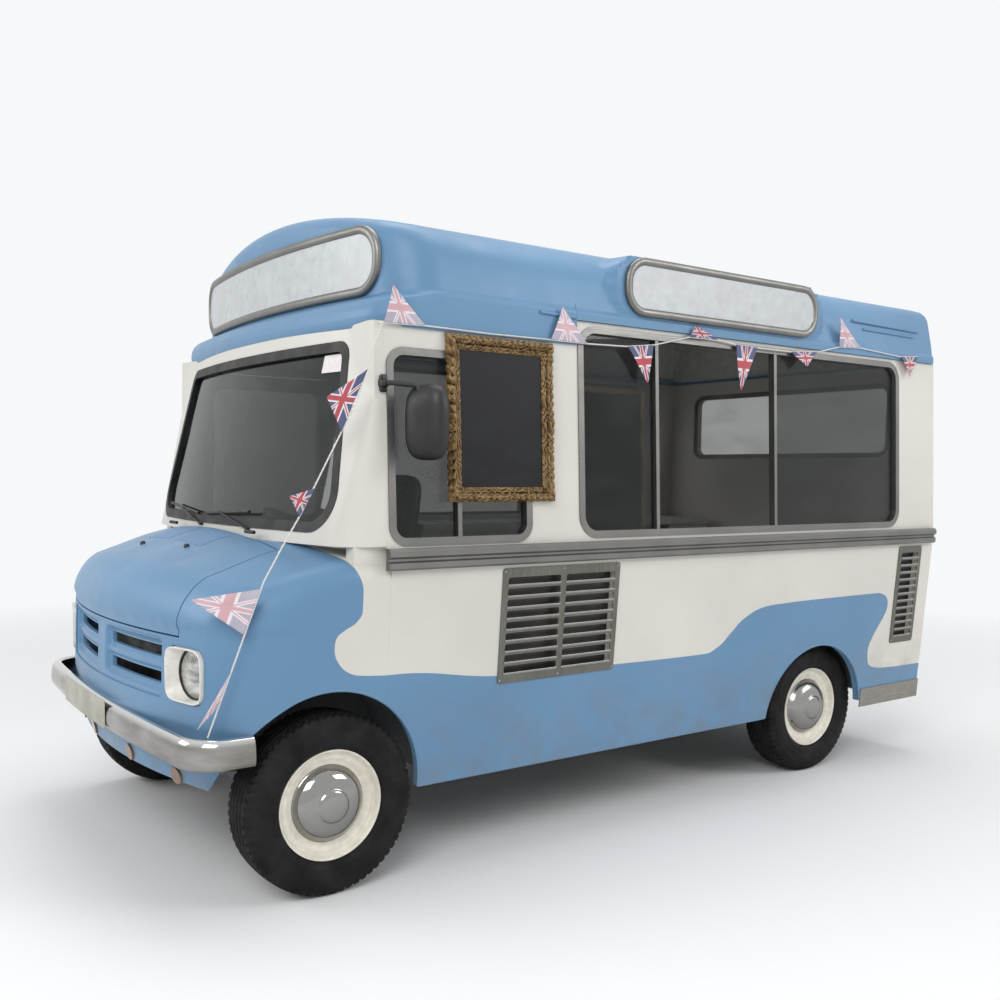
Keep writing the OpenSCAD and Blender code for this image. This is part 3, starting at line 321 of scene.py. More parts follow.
def enamel(name, colour, dirt=rgb(72, 66, 58), share=0.4, rough=(0.3, 0.55), grain=55):
    """Sprayed metal or moulded plastic: one mottled colour, with dirt in patches and a slight grain."""
    finish = Finish(name)
    patch = finish.math("MULTIPLY", finish.span(finish.noise(7, 6), 0.40, 0.75), share)
    mottle = finish.span(finish.noise(grain, 4), 0.3, 0.7, 0.9, 1.08)
    mottled = finish.add("HueSaturation", {"Color": colour, "Value": mottle}).outputs[0]
    return finish.look(
        Base_Color=finish.blend(patch, mottled, dirt),
        Roughness=finish.span(finish.noise(12, 5), 0.3, 0.7, *rough),
        Normal=finish.bump(finish.noise(grain * 6, 3), 0.0003, 0.4))


def clear_glass(name, tint, film):
    """Sheet glass: a dark film that holds back a share of the light, a little more where dust has settled."""
    finish = Finish(name)
    smear = finish.span(finish.noise(3, 7, (1, 1, 2.5)), 0.45, 0.75)
    dulled = finish.blend(smear, tint, rgb(42, 46, 45))
    return finish.look(
        Base_Color=dulled, Alpha=finish.span(smear, 0.0, 1.0, film, film + 0.06), Roughness=0.02,
        Specular_IOR_Level=0.45)


FINISHES = {
    "aluminium": brushed("drawn_aluminium", rgb(120, 119, 116), (0.12, 3, 3)),
    # The upright aluminium is lighter than the plate it serves on: a painted highlight for the louvre lips
    # and screws.
    "aluminium_highlight": brushed("drawn_aluminium_painted_highlight", rgb(160, 159, 155), (3, 3, 0.12)),
    "bare_sheet": brushed("bare_sheet", rgb(150, 147, 140), (0.3, 2, 2), (0.35, 0.6), 0.6),
    "chrome": chrome("chrome_plate"),
    "chassis": enamel("chassis_black", rgb(34, 33, 32), rgb(84, 74, 62), 0.5),
    "steel": enamel("grey_steel", rgb(104, 104, 102), rgb(70, 60, 50), 0.5),
    "black": enamel("black_moulding", rgb(17, 17, 18), rgb(52, 50, 48), 0.2, (0.4, 0.6), 90),
    "rubber": enamel("glazing_rubber", rgb(16, 16, 17), rgb(52, 50, 48), 0.3, (0.5, 0.7), 140),
    "white_unit": enamel("white_laminate", rgb(222, 222, 218), rgb(150, 146, 138), 0.12, (0.22, 0.4), 30),
    "floor_sheet": enamel("floor_sheet", rgb(86, 88, 90), rgb(60, 55, 48), 0.5, (0.5, 0.7), 80),
    "rim": enamel("rim_cream", rgb(232, 228, 214), rgb(150, 128, 98), 0.28, (0.3, 0.5), 40),
    "bezel": enamel("bezel_white", rgb(232, 229, 222), rgb(150, 140, 126), 0.2, (0.28, 0.45), 40),
    "vinyl": enamel("seat_vinyl", rgb(40, 40, 44), rgb(78, 76, 74), 0.25, (0.4, 0.6), 220),
    "glass": clear_glass("window_glass", rgb(20, 25, 24), 0.46),
    "screen_glass": clear_glass("screen_glass", rgb(12, 16, 16), 0.70),
}
print("finishes", len(FINISHES))

# %% [markdown]
# ## Surfaces from arrays
# Each new piece is a surface worked out as a whole array: a grid of points that depends on two numbers,
# joined in quads. Five helpers cover nearly everything: a plain grid, a profile turned round an axle, a
# profile carried along a path, a plate raised from an outline, and a skin found along rays. The last one is
# for pressed panels: the panel's form is written as a distance to its faces, with the edges between them
# rounded, and every ray from inside stops where that distance is nought.

# %% Surface helpers
def grid(points, wrap_u=False, wrap_v=False):
    """Quads over an (m, n, 3) array of points. A wrapped direction joins its last row to its first."""
    m, n = points.shape[:2]
    i = np.arange(m if wrap_u else m - 1)[:, None]
    j = np.arange(n if wrap_v else n - 1)[None, :]
    i_next, j_next = (i + 1) % m, (j + 1) % n
    corners = np.broadcast_arrays(i * n + j, i_next * n + j, i_next * n + j_next, i * n + j_next)
    return points.reshape(-1, 3), np.stack(corners, axis=-1).reshape(-1, 4)


def turned(profile, centre, steps=96, side=1, loop=False):
    """(radius, outward) points turned round an axle along Y through centre. A loop closes the profile."""
    radius, out = np.asarray(profile, float).T
    angle = np.linspace(0, 2 * np.pi, steps, endpoint=False)[:, None]
    x = centre[0] + radius * np.cos(angle)
    z = centre[2] + radius * np.sin(angle)
    y = centre[1] + side * out + 0 * angle
    return grid(np.stack([x, y, z], axis=-1), wrap_u=True, wrap_v=loop)


def closed_ends(rings):
    """Rings of points, with the first and the last one also drawn to a point, which closes the shape."""
    points = np.repeat(rings[[0, -1]].mean(axis=1, keepdims=True), rings.shape[1], axis=1)
    return np.concatenate([points[:1], rings, points[1:]])


FORWARDS, SIDEWAYS, UPWARDS = np.eye(3)


def swept(path, across, up, profile):
    """A profile of (across, up) points carried along a path. One direction can serve the whole path."""
    path = np.asarray(path, float)
    across, up = (np.broadcast_to(way, path.shape) for way in (across, up))
    a, b = np.asarray(profile, float).T
    rings = path[:, None] + across[:, None] * a[:, None] + up[:, None] * b[:, None]
    return grid(closed_ends(rings), wrap_v=True)


def unit(rows):
    """Each row of vectors at length 1."""
    return rows / np.linalg.norm(rows, axis=1)[:, None]


def ring_points(radius, steps):
    """Points round a circle, as a profile."""
    angle = np.linspace(0, 2 * np.pi, steps, endpoint=False)
    return radius * np.column_stack([np.cos(angle), np.sin(angle)])


def rod(radius, low, high):
    """The profile of a plain rod with flat ends, to be turned."""
    return [(0.0, low), (radius, low), (radius, high), (0.0, high)]


def rounded(a, b, radius):
    """Inside both of two distances, with the edge where they meet rounded to the radius."""
    corner = np.hypot(np.maximum(a + radius, 0), np.maximum(b + radius, 0))
    return np.minimum(-radius, np.maximum(a, b)) + corner


def joined(a, b, radius):
    """Inside either of two distances, with the valley where they meet filled to the radius."""
    return -rounded(-a, -b, radius)


def skin(field, origin, direction, reach):
    """Points where rays from the origins leave the field, by halving the reach 40 times for all at once."""
    origin, direction = np.broadcast_arrays(origin, direction)
    low = np.zeros(direction.shape[:-1])
    high = np.full_like(low, reach)
    for _ in range(40):
        middle = (low + high) / 2
        inside = field(*np.moveaxis(origin + direction * middle[..., None], -1, 0)) < 0
        low = np.where(inside, middle, low)
        high = np.where(inside, high, middle)
    return origin + direction * low[..., None]


def placed(points, place):
    """(u, v, w) points mapped to X, Y, Z by place."""
    return np.stack(place(*np.moveaxis(points, -1, 0)), axis=-1)


def outward(outline):
    """The normals of a closed anticlockwise outline."""
    tangent = np.roll(outline, -1, axis=0) - np.roll(outline, 1, axis=0)
    return unit(np.stack([tangent[:, 1], -tangent[:, 0]], axis=1))


def slab(outline, low, high, bevel, place):
    """A closed plate: (u, v) points of an outline raised along w from low to high, with bevelled edges."""
    outline = np.asarray(outline, float)
    normal = outward(outline)
    steps = np.array([[1.0, 0.0], [0.3, 0.3], [0.0, 1.0]]) * bevel
    levels = [(inset, low + rise) for inset, rise in steps]
    levels += [(inset, high - rise) for inset, rise in steps[::-1]]
    rings = [np.column_stack([outline - normal * inset, np.full(len(outline), w)]) for inset, w in levels]
    return grid(placed(closed_ends(np.array(rings)), place), wrap_v=True)


def round_rect(u0, u1, v0, v1, radius, steps=8):
    """The outline of a rectangle with round corners, anticlockwise."""
    left, right, low, high = u0 + radius, u1 - radius, v0 + radius, v1 - radius
    quarter = np.linspace(0, np.pi / 2, steps + 1)
    parts = []
    for k, (u, v) in enumerate([(right, high), (left, high), (left, low), (right, low)]):
        angle = quarter + k * np.pi / 2
        parts.append(np.column_stack([u + radius * np.cos(angle), v + radius * np.sin(angle)]))
    return np.concatenate(parts)


ball = skin(lambda x, y, z: np.sqrt(x**2 + y**2 + z**2) - 1, np.zeros(3), np.eye(3), 2.0)
print("rays inside a ball of radius 1 stop at", np.linalg.norm(ball, axis=1).round(6))

# %% [markdown]
# The maker turns shapes into one object, closes poles and seams, points the faces outwards, and tells the
# frame which body the piece rides on. Cutters and thickness are finished with modifiers and then fixed into
# the mesh, so that the cutters can go away again.

# %% Piece maker
def plain(name, shapes):
    """One Blender object from several (points, quads) shapes."""
    start = np.cumsum([0] + [len(points) for points, _ in shapes[:-1]])
    points = np.concatenate([points for points, _ in shapes])
    quads = np.concatenate([quads + first for (_, quads), first in zip(shapes, start)])
    mesh = bpy.data.meshes.new(name)
    mesh.from_pydata(points.tolist(), [], quads.tolist())
    work = bmesh.new()
    work.from_mesh(mesh)
    bmesh.ops.remove_doubles(work, verts=work.verts, dist=2e-5)
    bmesh.ops.dissolve_degenerate(work, edges=work.edges, dist=1e-6)
    bmesh.ops.recalc_face_normals(work, faces=work.faces)
    work.to_mesh(mesh)
    work.free()
    piece = bpy.data.objects.new(name, mesh)
    bpy.context.scene.collection.objects.link(piece)
    return piece


def fixed(piece):
    """Bakes the modifiers of a piece into its mesh."""
    seen_as = piece.evaluated_get(bpy.context.evaluated_depsgraph_get())
    mesh = bpy.data.meshes.new_from_object(seen_as)
    piece.modifiers.clear()
    piece.data = mesh


def cut(piece, *cutters, how="DIFFERENCE"):
    """Takes each cutter out of the piece, or keeps what it shares with the piece, and removes the cutter."""
    for cutter in cutters:
        step = piece.modifiers.new(cutter.name, "BOOLEAN")
        step.operation = how
        step.solver = "EXACT"
        step.object = cutter
        fixed(piece)
        bpy.data.objects.remove(cutter)


def thicken(piece, thickness, lining=0):
    """Gives an open skin its sheet thickness, inwards. lining counts on to the finish of the inner face."""
    step = piece.modifiers.new("sheet", "SOLIDIFY")
    step.thickness = thickness
    step.offset = -1
    step.material_offset = lining
    fixed(piece)


def settle(piece, body, finish, replaces=(), slot="", sharp=32):
    """Gives a piece its finish, unless it has one, smooth shading with sharp folds, and its body."""
    if finish:
        piece.data.materials.clear()
        piece.data.materials.append(finish)
    piece.data.shade_smooth()
    piece.data.set_sharp_from_angle(angle=math.radians(sharp))
    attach(piece, body)
    if replaces:
        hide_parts(*replaces)
    print(piece.name, len(piece.data.polygons), "faces")
    return piece


def make(name, body, finish, shapes, **how):
    """One finished piece from (points, quads) shapes."""
    return settle(plain(name, shapes), body, finish, **how)


# %% [markdown]
# ## The nose and the bonnet
# The nose is one pressed form: a gently bowed front, a top that falls forward at twenty degrees, upright
# wings, and round corners between them. In a press shop the same die shapes the bonnet and the wings, so
# here one distance field gives both, and the bonnet is what lies inside its shut line. A low brow runs
# round under the bonnet's lip and fades out along the wing.

# %% Nose form
WAIST_Z, WAIST_HALF = 1.17, 0.982
LEAN_ABOVE, LEAN_BELOW = 0.045, 0.078
NOSE_AXIS_X = -2.475
NOSE_FACE = [(0.30, 0.470), (0.40, 0.485), (0.62, 0.524), (2.0, 0.524)]
NOSE_REAR = np.array([-0.1957, 0.0, 0.4002])
NOSE_CORNER_R = 0.175
BROW_Z, BROW_DEEP, BROW_FADE = 0.955, 0.013, 0.10
COWL_Z, COWL_CROWN = 1.262, 0.0987
TOP_FALL, TOP_CROWN, TOP_START = 0.364, 0.055, 0.06


def side_y(z):
    """Half width of the body at a height: it leans in above and below its widest line."""
    return WAIST_HALF - np.where(z > WAIST_Z, LEAN_ABOVE * (z - WAIST_Z), LEAN_BELOW * (WAIST_Z - z))


def smooth_step(value, low, high):
    """0 below low, 1 above high, with an easy curve between."""
    t = np.clip((value - low) / (high - low), 0, 1)
    return t * t * (3 - 2 * t)


def nose_field(x, y, z):
    """Distance to the nose: bowed front and leaning sides, with round corners, under a falling top."""
    bow = np.hypot(x - NOSE_AXIS_X, y) + NOSE_AXIS_X
    below = BROW_Z - z
    brow = BROW_DEEP * np.exp(-np.clip(below, 0, 1) / BROW_FADE) * smooth_step(below, 0.0, 0.018)
    brow = brow * smooth_step(x, 0.05, 0.34)
    front = bow - np.interp(z, *np.array(NOSE_FACE).T)
    walls = rounded(front, np.abs(y) - side_y(z), NOSE_CORNER_R) + brow
    falling = z - (COWL_Z - TOP_FALL * (bow - TOP_START) - TOP_CROWN * y**2)
    falling = falling * 0.94  # the cosine of the slope makes this height a distance
    cowl = z - (COWL_Z - COWL_CROWN * y**2)
    top = rounded(falling, cowl, 0.05)
    return rounded(walls, top, np.interp(x, [0.12, 0.40], [0.075, 0.125]))


def on_van(points):
    """Moves points whose X counts from the front axle into the frame."""
    return points + np.array([AXLE_X, 0, 0])


def nose_sheet(name, thickness):
    """The nose as a sheet, along a fan of rays: one angle sweeps across, the other lifts up from ahead."""
    steps_across, steps_up = ((300, 130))
    across = np.linspace(0, np.pi, steps_across)[:, None]
    lift = np.linspace(0, np.pi / 2, steps_up)[None, :]
    ahead = np.sin(across)
    rays = np.stack([ahead * np.cos(lift), np.cos(across) + 0 * lift, ahead * np.sin(lift)], axis=-1)
    sheet = plain(name, [grid(on_van(skin(nose_field, NOSE_REAR, rays, 2.0)))])
    thicken(sheet, thickness)
    return sheet


print("half width at the waist and at the bumper", side_y(np.array([WAIST_Z, 0.56])).round(3))

# %% [markdown]
# Openings for the bonnet, the grille, the lamps, the wheels and the bumper's arms are cut out of the nose.
# A cutter is a plain block, a drum across the van, or a plate in one of the van's planes. Each plane has a
# small function that maps sideways, up and outwards to the van.

# %% Nose panels
SIDES = (1, -1)
FRONT_ARCH, REAR_ARCH = (0.020, 0.365, 0.365), (-2.620, 0.285, 0.370)
NOSE_R = 3.0
LAMP_Y, LAMP_Z = 0.7, 0.787
LAMP_HALF = np.array([0.108, 0.094])
LAMP_X = NOSE_AXIS_X + math.sqrt(NOSE_R**2 - LAMP_Y**2)
LAMP_TURN = math.asin(LAMP_Y / NOSE_R)
VALANCE_LAMPS = [(-0.592, 0.42), (-0.234, 0.432), (0.234, 0.432), (0.592, 0.42)]
VALANCE_LAMP_R = 0.031


def block(name, x0, x1, y0, y1, z0, z1):
    """A plain cutter, given by its sides on the van."""
    outline = [(x0, y0), (x1, y0), (x1, y1), (x0, y1)]
    rings = np.array([[(x, y, z) for x, y in outline] for z in (z0, z1)])
    return plain(name, [grid(on_van(closed_ends(rings)), wrap_v=True)])


def drum(name, centre_x, centre_z, radius, y0, y1):
    """A round cutter across the van."""
    return plain(name, [turned(rod(radius, y0, y1), (centre_x + AXLE_X, 0.0, centre_z), 128)])


def lamp_place(side):
    """Maps (sideways, up, outwards) of a headlamp to the van. side is 1 on the left and -1 on the right."""
    def place(u, v, w):
        """Turns sideways and outwards by the lamp's angle, and moves all to the lamp's place."""
        x = LAMP_X + w * math.cos(LAMP_TURN) - u * math.sin(LAMP_TURN)
        y = LAMP_Y + w * math.sin(LAMP_TURN) + u * math.cos(LAMP_TURN)
        return x + AXLE_X, side * y, LAMP_Z + v + 0 * u
    return place


def van_face(u, v, w):
    """Maps (sideways, up, forwards) to the van."""
    return w + AXLE_X, u, v


def front_room(name, outline, low=0.2, high=0.8, place=van_face):
    """A cutter that goes through the nose from the front."""
    return plain(name, [slab(outline, low, high, 0.001, place)])


rooms = [
    block("bonnet_room", 0.080, 0.8, -0.661, 0.661, 0.909, 2.0),
    block("cowl_room", -0.6, 0.081, -1.2, 1.2, 1.2148, 2.0),
    drum("arch_left", *FRONT_ARCH, 0.5, 1.3),
    drum("arch_right", *FRONT_ARCH, -1.3, -0.5),
    front_room("grille_room", round_rect(-0.56, 0.56, 0.69, 0.90, 0.02)),
]
lamp_square = round_rect(-LAMP_HALF[0], LAMP_HALF[0], -LAMP_HALF[1], LAMP_HALF[1], 0.045)
rooms += [front_room("lamp_room", lamp_square, -0.12, 0.2, lamp_place(side)) for side in SIDES]
rooms += [front_room("valance_room", ring_points(VALANCE_LAMP_R, 32) + at) for at in VALANCE_LAMPS]
rooms += [block("arm_room", 0.42, 0.8, *span, 0.517, 0.599) for span in ((0.337, 0.423), (-0.423, -0.337))]
nose = nose_sheet("nose_panels", 0.024)
cut(nose, *rooms)
settle(nose, "body", PAINTS["two_tone"], replaces=["nose"], slot="blue_paint", sharp=38)

# %% [markdown]
# The bonnet is cut from the same skin. Its rear edge carries two barrels for the hinge pins. Two wire-mesh
# inlets for the heater lie flush in its rear part, and two washer jets stand in front of them.

# %% Bonnet
HINGE_X, HINGE_Z, HINGE_R = 0.088, 1.2445, 0.0068
BARRELS_Y = (-0.42, 0.42)
INLETS_Y = ((-0.30, -0.04), (0.04, 0.30))
JETS_AT = ((0.30, -0.17), (0.26, 0.23))
JET = [(0.0, -0.006), (0.011, -0.006), (0.011, 0.004), (0.008, 0.010), (0.004, 0.012), (0.0, 0.012)]

bonnet = nose_sheet("bonnet_panel", 0.022)
cut(bonnet, block("shut_line", HINGE_X, 0.8, -0.655, 0.655, 0.915, 2.0), how="INTERSECT")
settle(bonnet, "bonnet", PAINTS["blue"], replaces=["bonnet"], slot="blue_paint", sharp=38)


def on_bonnet(x, y, lift):
    """Points of the bonnet's skin over (x, y), raised by lift."""
    origin = np.stack([x, y, np.full_like(x, 0.7)], axis=-1)
    return skin(nose_field, origin, UPWARDS, 1.0) + UPWARDS * lift


def skin_patch(x0, x1, y0, y1, low, high, steps=24):
    """A thin plate that follows the bonnet between two heights above its skin."""
    x, y = np.meshgrid(np.linspace(x0, x1, steps), np.linspace(y0, y1, steps), indexing="ij")
    top = on_bonnet(x, y, high)
    base = on_bonnet(x, y, low)
    inset = np.concatenate([base[:1], top, base[-1:]])
    near, far = (np.concatenate([inset[:1, k], base[:, k], inset[-1:, k]])[:, None] for k in (0, -1))
    return grid(on_van(np.concatenate([near, inset, far], axis=1)))


barrels = [turned(rod(HINGE_R, -0.02, 0.02), (HINGE_X + AXLE_X, y, HINGE_Z), 24) for y in BARRELS_Y]
make("bonnet_hinges", "bonnet", FINISHES["black"], barrels, slot="black_plastic")
# The holes between the wires are painted dark blue: painted shade of the inlet's inside seen through the
# mesh.
mesh_finish = Finish("inlet_mesh")
cells = {"Vector": mesh_finish.place, "Scale": 210.0, "Randomness": 0.0}
wire = mesh_finish.span(mesh_finish.add("TexVoronoi", cells).outputs[0], 0.25, 0.4)
mesh_finish.look(
    Base_Color=mesh_finish.blend(wire, rgb(58, 76, 96), rgb(112, 150, 190)), Roughness=0.5, Metallic=0.2,
    Normal=mesh_finish.bump(wire, 0.001, 0.8))
inlets = [skin_patch(0.115, 0.235, *ends, -0.004, 0.0012) for ends in INLETS_Y]
make("bonnet_inlets", "bonnet", mesh_finish.material, inlets, slot="black_plastic")
radius, height = np.array(JET).T
turn = np.linspace(0, 2 * np.pi, 24, endpoint=False)[:, None]
jet = np.stack([radius * np.cos(turn), radius * np.sin(turn), height + 0 * turn], axis=-1)
feet = on_bonnet(*np.array(JETS_AT).T, 0.0)
jets = [grid(on_van(foot + jet), wrap_u=True) for foot in feet]
make("washer_jets", "bonnet", FINISHES["black"], jets, slot="black_plastic")

# %% [markdown]
# ## Grille
# The grille is pressed into the nose: a shallow dish on each side of a centre post, with two long slots in
# each dish. The dish is the nose's own face set back by a smooth step, so it follows the bow. The slots are
# cut out with plates, and a folded lip runs round each slot, because a real slot shows the turned-in edge
# of the sheet.

# %% Grille
DISH = (0.050, 0.552, 0.704, 0.890, 0.03)
SLOT_MIDDLE, SLOT_HALF, SLOT_TALL, SLOT_FEET = 0.297, 0.227, 0.047, (0.728, 0.820)
LIP = [(0.004, -0.002), (0.003, 0.002), (0.0, 0.0035), (-0.003, 0.002), (-0.004, -0.002), (-0.004, -0.014),
       (-0.001, -0.014), (-0.001, -0.004)]


def front_x(y, z):
    """X of the nose's face at (y, z), found along rays straight ahead."""
    return skin(nose_field, np.stack([np.zeros_like(y), y, z], axis=-1), FORWARDS, 1.0)[..., 0]


def box_distance(u, v, u0, u1, v0, v1, radius):
    """Distance to a rectangle with round corners, below nought inside it."""
    du = np.abs(u - (u0 + u1) / 2) - (u1 - u0) / 2 + radius
    dv = np.abs(v - (v0 + v1) / 2) - (v1 - v0) / 2 + radius
    return np.hypot(np.maximum(du, 0), np.maximum(dv, 0)) + np.minimum(np.maximum(du, dv), 0) - radius


def rim(outline, profile, place):
    """A profile of (outwards, up) points carried round a closed outline. place maps (u, v, w) to X, Y, Z."""
    outline = np.asarray(outline, float)
    a, b = np.asarray(profile, float).T
    flat = outline[:, None] + outward(outline)[:, None] * a[:, None]
    points = np.dstack([flat, np.broadcast_to(b, flat.shape[:2])])
    return grid(placed(points, place), wrap_u=True, wrap_v=True)


def spaced(outline, step):
    """The outline with more points, so that no two are further apart than the step."""
    ends = np.roll(outline, -1, axis=0)
    counts = (np.hypot(*(ends - outline).T) / step).astype(int) + 2
    return np.concatenate([np.linspace(a, b, count)[:-1] for a, b, count in zip(outline, ends, counts)])


def dish_x(y, z):
    """X of the grille's face: the nose set back 6 mm, and 22 mm more in each dish, less along its bar."""
    dish = box_distance(np.abs(y), z, *DISH)
    bar = 0.010 * np.exp(-((z - 0.7975) / 0.013) ** 4)
    deep = 0.022 * smooth_step(-dish, -0.004, 0.020)
    return front_x(y, z) - 0.006 - deep + bar * smooth_step(-dish, 0.0, 0.02)


def dish_face(u, v, w):
    """Maps (sideways, up, forwards) to the grille's face."""
    return dish_x(u, v) + w + AXLE_X, u, v


y, z = np.meshgrid(np.linspace(-0.5597, 0.5597, 220), np.linspace(0.6903, 0.8997, 84), indexing="ij")
grille = plain("grille_panel", [grid(np.stack([dish_x(y, z) + AXLE_X, y, z], axis=-1))])
thicken(grille, 0.006)
slots = []
for middle in (-SLOT_MIDDLE, SLOT_MIDDLE):
    slots += [round_rect(middle - SLOT_HALF, middle + SLOT_HALF, z, z + SLOT_TALL, 0.012) for z in SLOT_FEET]
cut(grille, *[front_room("slot_room", outline) for outline in slots])
settle(grille, "body", PAINTS["blue"], replaces=["grille"], slot="blue_paint", sharp=40)
slot_lips = [rim(spaced(outline, 0.04), LIP, dish_face) for outline in slots]
make("grille_lips", "body", PAINTS["blue"], slot_lips, slot="blue_paint")
# A black sheet behind the slots is painted shade: it stands for the dark inside of the nose.
grille_shade_sheet = slab(round_rect(-0.55, 0.55, 0.58, 0.893, 0.02), 0.350, 0.356, 0.001, van_face)
make("grille_painted_shade", "body", FINISHES["chassis"], [grille_shade_sheet], slot="steel_black")

# %% [markdown]
# ## Bumper and number plate
# The bumper is one rolled bar of chromed steel. Its section has a rounded upper edge and a turned-under
# lower one. The section is carried along a path: a slow bow across the front, a corner, and a short
# straight run back along the side. Below the top edge its face is painted darker and made duller: a painted
# dark reflection.

# %% Bumper
BUMPER_FACE, BUMPER_R, BUMPER_HALF, BUMPER_END = 0.552, 9.0, 0.950, 0.292
CORNER_R, CORNER_START = 0.150, 0.09
SECTION = [(-0.034, 0.506), (-0.020, 0.5055), (-0.009, 0.510), (-0.003, 0.520), (0.0, 0.536), (0.0, 0.556),
           (-0.002, 0.576), (-0.006, 0.592), (-0.013, 0.605), (-0.024, 0.6115), (-0.036, 0.611),
           (-0.043, 0.604), (-0.041, 0.602), (-0.035, 0.607), (-0.025, 0.6075), (-0.016, 0.602),
           (-0.010, 0.590), (-0.006, 0.575), (-0.004, 0.556), (-0.004, 0.536), (-0.007, 0.522),
           (-0.012, 0.514), (-0.021, 0.5095), (-0.034, 0.510)]


def bumper_x(y):
    """X of the bumper's bowed face."""
    return BUMPER_FACE - y**2 / (2 * BUMPER_R)


corner_y = BUMPER_HALF - CORNER_R
bow_end = corner_y + CORNER_R * math.sin(CORNER_START)
corner_x = bumper_x(bow_end) - CORNER_R * math.cos(CORNER_START)
bow_y = np.linspace(0, bow_end, 40)
bend = np.linspace(CORNER_START, np.pi / 2, 20)[1:]
straight = np.linspace(corner_x, BUMPER_END, 6)[1:]
half_path = np.concatenate([
    np.column_stack([bumper_x(bow_y), bow_y]),
    np.column_stack([corner_x + CORNER_R * np.cos(bend), corner_y + CORNER_R * np.sin(bend)]),
    np.column_stack([straight, np.full_like(straight, BUMPER_HALF)])])
plan = np.concatenate([half_path[:0:-1] * [1, -1], half_path])
run = unit(np.gradient(plan, axis=0))
out_way = np.column_stack([run[:, 1], -run[:, 0], np.zeros(len(run))])
bar = swept(on_van(np.column_stack([plan, np.zeros(len(plan))])), out_way, UPWARDS, SECTION)
film = Finish("chrome_painted_reflection")
# Below the top edge the chrome is painted dark brown-grey in streaks: a painted reflection of the shaded
# ground.
low_face = film.span(film.axes[2], 0.588, 0.604, 0.85, 0.0)
painted_reflection = film.math("MULTIPLY", low_face, film.span(film.noise(5, 5, (1, 1, 4)), 0.3, 0.7, 0.55, 1.0))
film.look(
    Base_Color=film.blend(painted_reflection, rgb(206, 206, 204), rgb(98, 90, 80)), Metallic=1.0,
    Roughness=film.span(painted_reflection, 0.0, 1.0, 0.05, 0.24), Normal=film.bump(film.noise(300, 2), 0.0002, 0.3))
make("chrome_bumper", "body", film.material, [bar], replaces=["front_bumper"], slot="chrome", sharp=50)
arm_outline = round_rect(0.425, 0.528, 0.522, 0.594, 0.008)
arms = [slab(arm_outline, y, y + 0.08, 0.002, lambda u, v, w: (u + AXLE_X, w, v)) for y in (-0.42, 0.34)]
make("bumper_arms", "body", FINISHES["chassis"], arms, slot="steel_black")


def bumper_face(u, v, w):
    """Maps (sideways, height, outwards) to the bowed face of the bumper."""
    return bumper_x(u) + w + AXLE_X, u, v


plate_finish = enamel("plate_sheet", rgb(176, 174, 160), rgb(104, 98, 86), 0.5, (0.3, 0.5), 60)
plate_outline = spaced(round_rect(-0.445, 0.165, 0.512, 0.618, 0.006), 0.02)
number_plate = slab(plate_outline, 0.0012, 0.0040, 0.0008, bumper_face)
make("number_plate", "body", plate_finish, [number_plate], slot="aluminium")

# %% [markdown]
# ## Headlamps
# Each lamp sits deep in a white pressed bezel. The bezel's rim is a rounded square and its throat is round,
# so the wall between them is a blend: every point moves on a straight line from the square to the circle
# while it goes inwards. The lens is a shallow dome with upright flutes, and its bright finish stands for the
# reflector behind it.

# %% Headlamps
LENS_R, LENS_FOOT, LENS_RISE = 0.083, -0.040, 0.016
THROAT_SHIFT = np.array([0.006, 0.0])
turn = np.linspace(0, 2 * np.pi, 96, endpoint=False)
circle = np.stack([np.cos(turn), np.sin(turn)], axis=1)


def eased(value, power):
    """A power that keeps the sign."""
    return np.sign(value) * np.abs(value) ** power


def lamp_rings(rings, place):
    """Rings of (share of circle, size of square, radius, depth), from the back over the rim and in."""
    points = []
    for share, size, radius, depth in rings:
        flat = square * size * (1 - share) + (circle * radius + THROAT_SHIFT) * share
        points.append(np.column_stack([flat, np.full(len(flat), depth)]))
    return grid(placed(np.array(points), place), wrap_v=True)


square = LAMP_HALF * eased(circle, 0.42)
BEZEL = [(1, 0, 0.0, -0.060), (0, 0.96, 0, -0.060), (0, 0.99, 0, 0.0), (0, 0.985, 0, 0.0045),
         (0, 0.96, 0, 0.006), (0, 0.93, 0, 0.0035), (0.15, 0.91, 0.088, -0.006), (0.5, 0.90, 0.088, -0.020),
         (0.85, 0.9, 0.088, -0.036), (1, 0, 0.087, -0.044), (1, 0, 0.0, -0.046)]
LENS = [(1, 0, 0.0, -0.047), (1, 0, LENS_R, -0.047)]
LENS += [(1, 0, r, LENS_FOOT + LENS_RISE * (1 - (r / LENS_R) ** 2)) for r in np.linspace(LENS_R, 0.0, 14)]
RING = [(1, 0, 0.0835, -0.046), (1, 0, 0.0835, -0.036), (1, 0, 0.087, -0.035), (1, 0, 0.0905, -0.038),
        (1, 0, 0.0905, -0.046)]
lens_finish = Finish("fluted_lens")
waves = {"Vector": lens_finish.place, "Scale": 34.0, "Distortion": 0.3}
flutes = lens_finish.add("TexWave", waves, bands_direction="Y").outputs[1]
shade = lens_finish.span(lens_finish.noise(14, 3, (1, 1, 3)), 0.35, 0.65)
lens_finish.look(
    Base_Color=lens_finish.blend(shade, rgb(120, 122, 118), rgb(212, 213, 208)), Metallic=0.75,
    Roughness=0.14, Coat_Weight=0.8, Normal=lens_finish.bump(flutes, 0.0016, 0.5))
LAMP_PARTS = [
    ("lamp_bezels", FINISHES["bezel"], BEZEL, ["headlamps"], "lamp_white"),
    ("lamp_lenses", lens_finish.material, LENS, [], "lamp"),
    ("lamp_rings", FINISHES["rubber"], RING, [], "rubber"),
]
for name, finish, rings, replaced, slot in LAMP_PARTS:
    pair = [lamp_rings(rings, lamp_place(side)) for side in SIDES]
    make(name, "body", finish, pair, replaces=replaced, slot=slot)

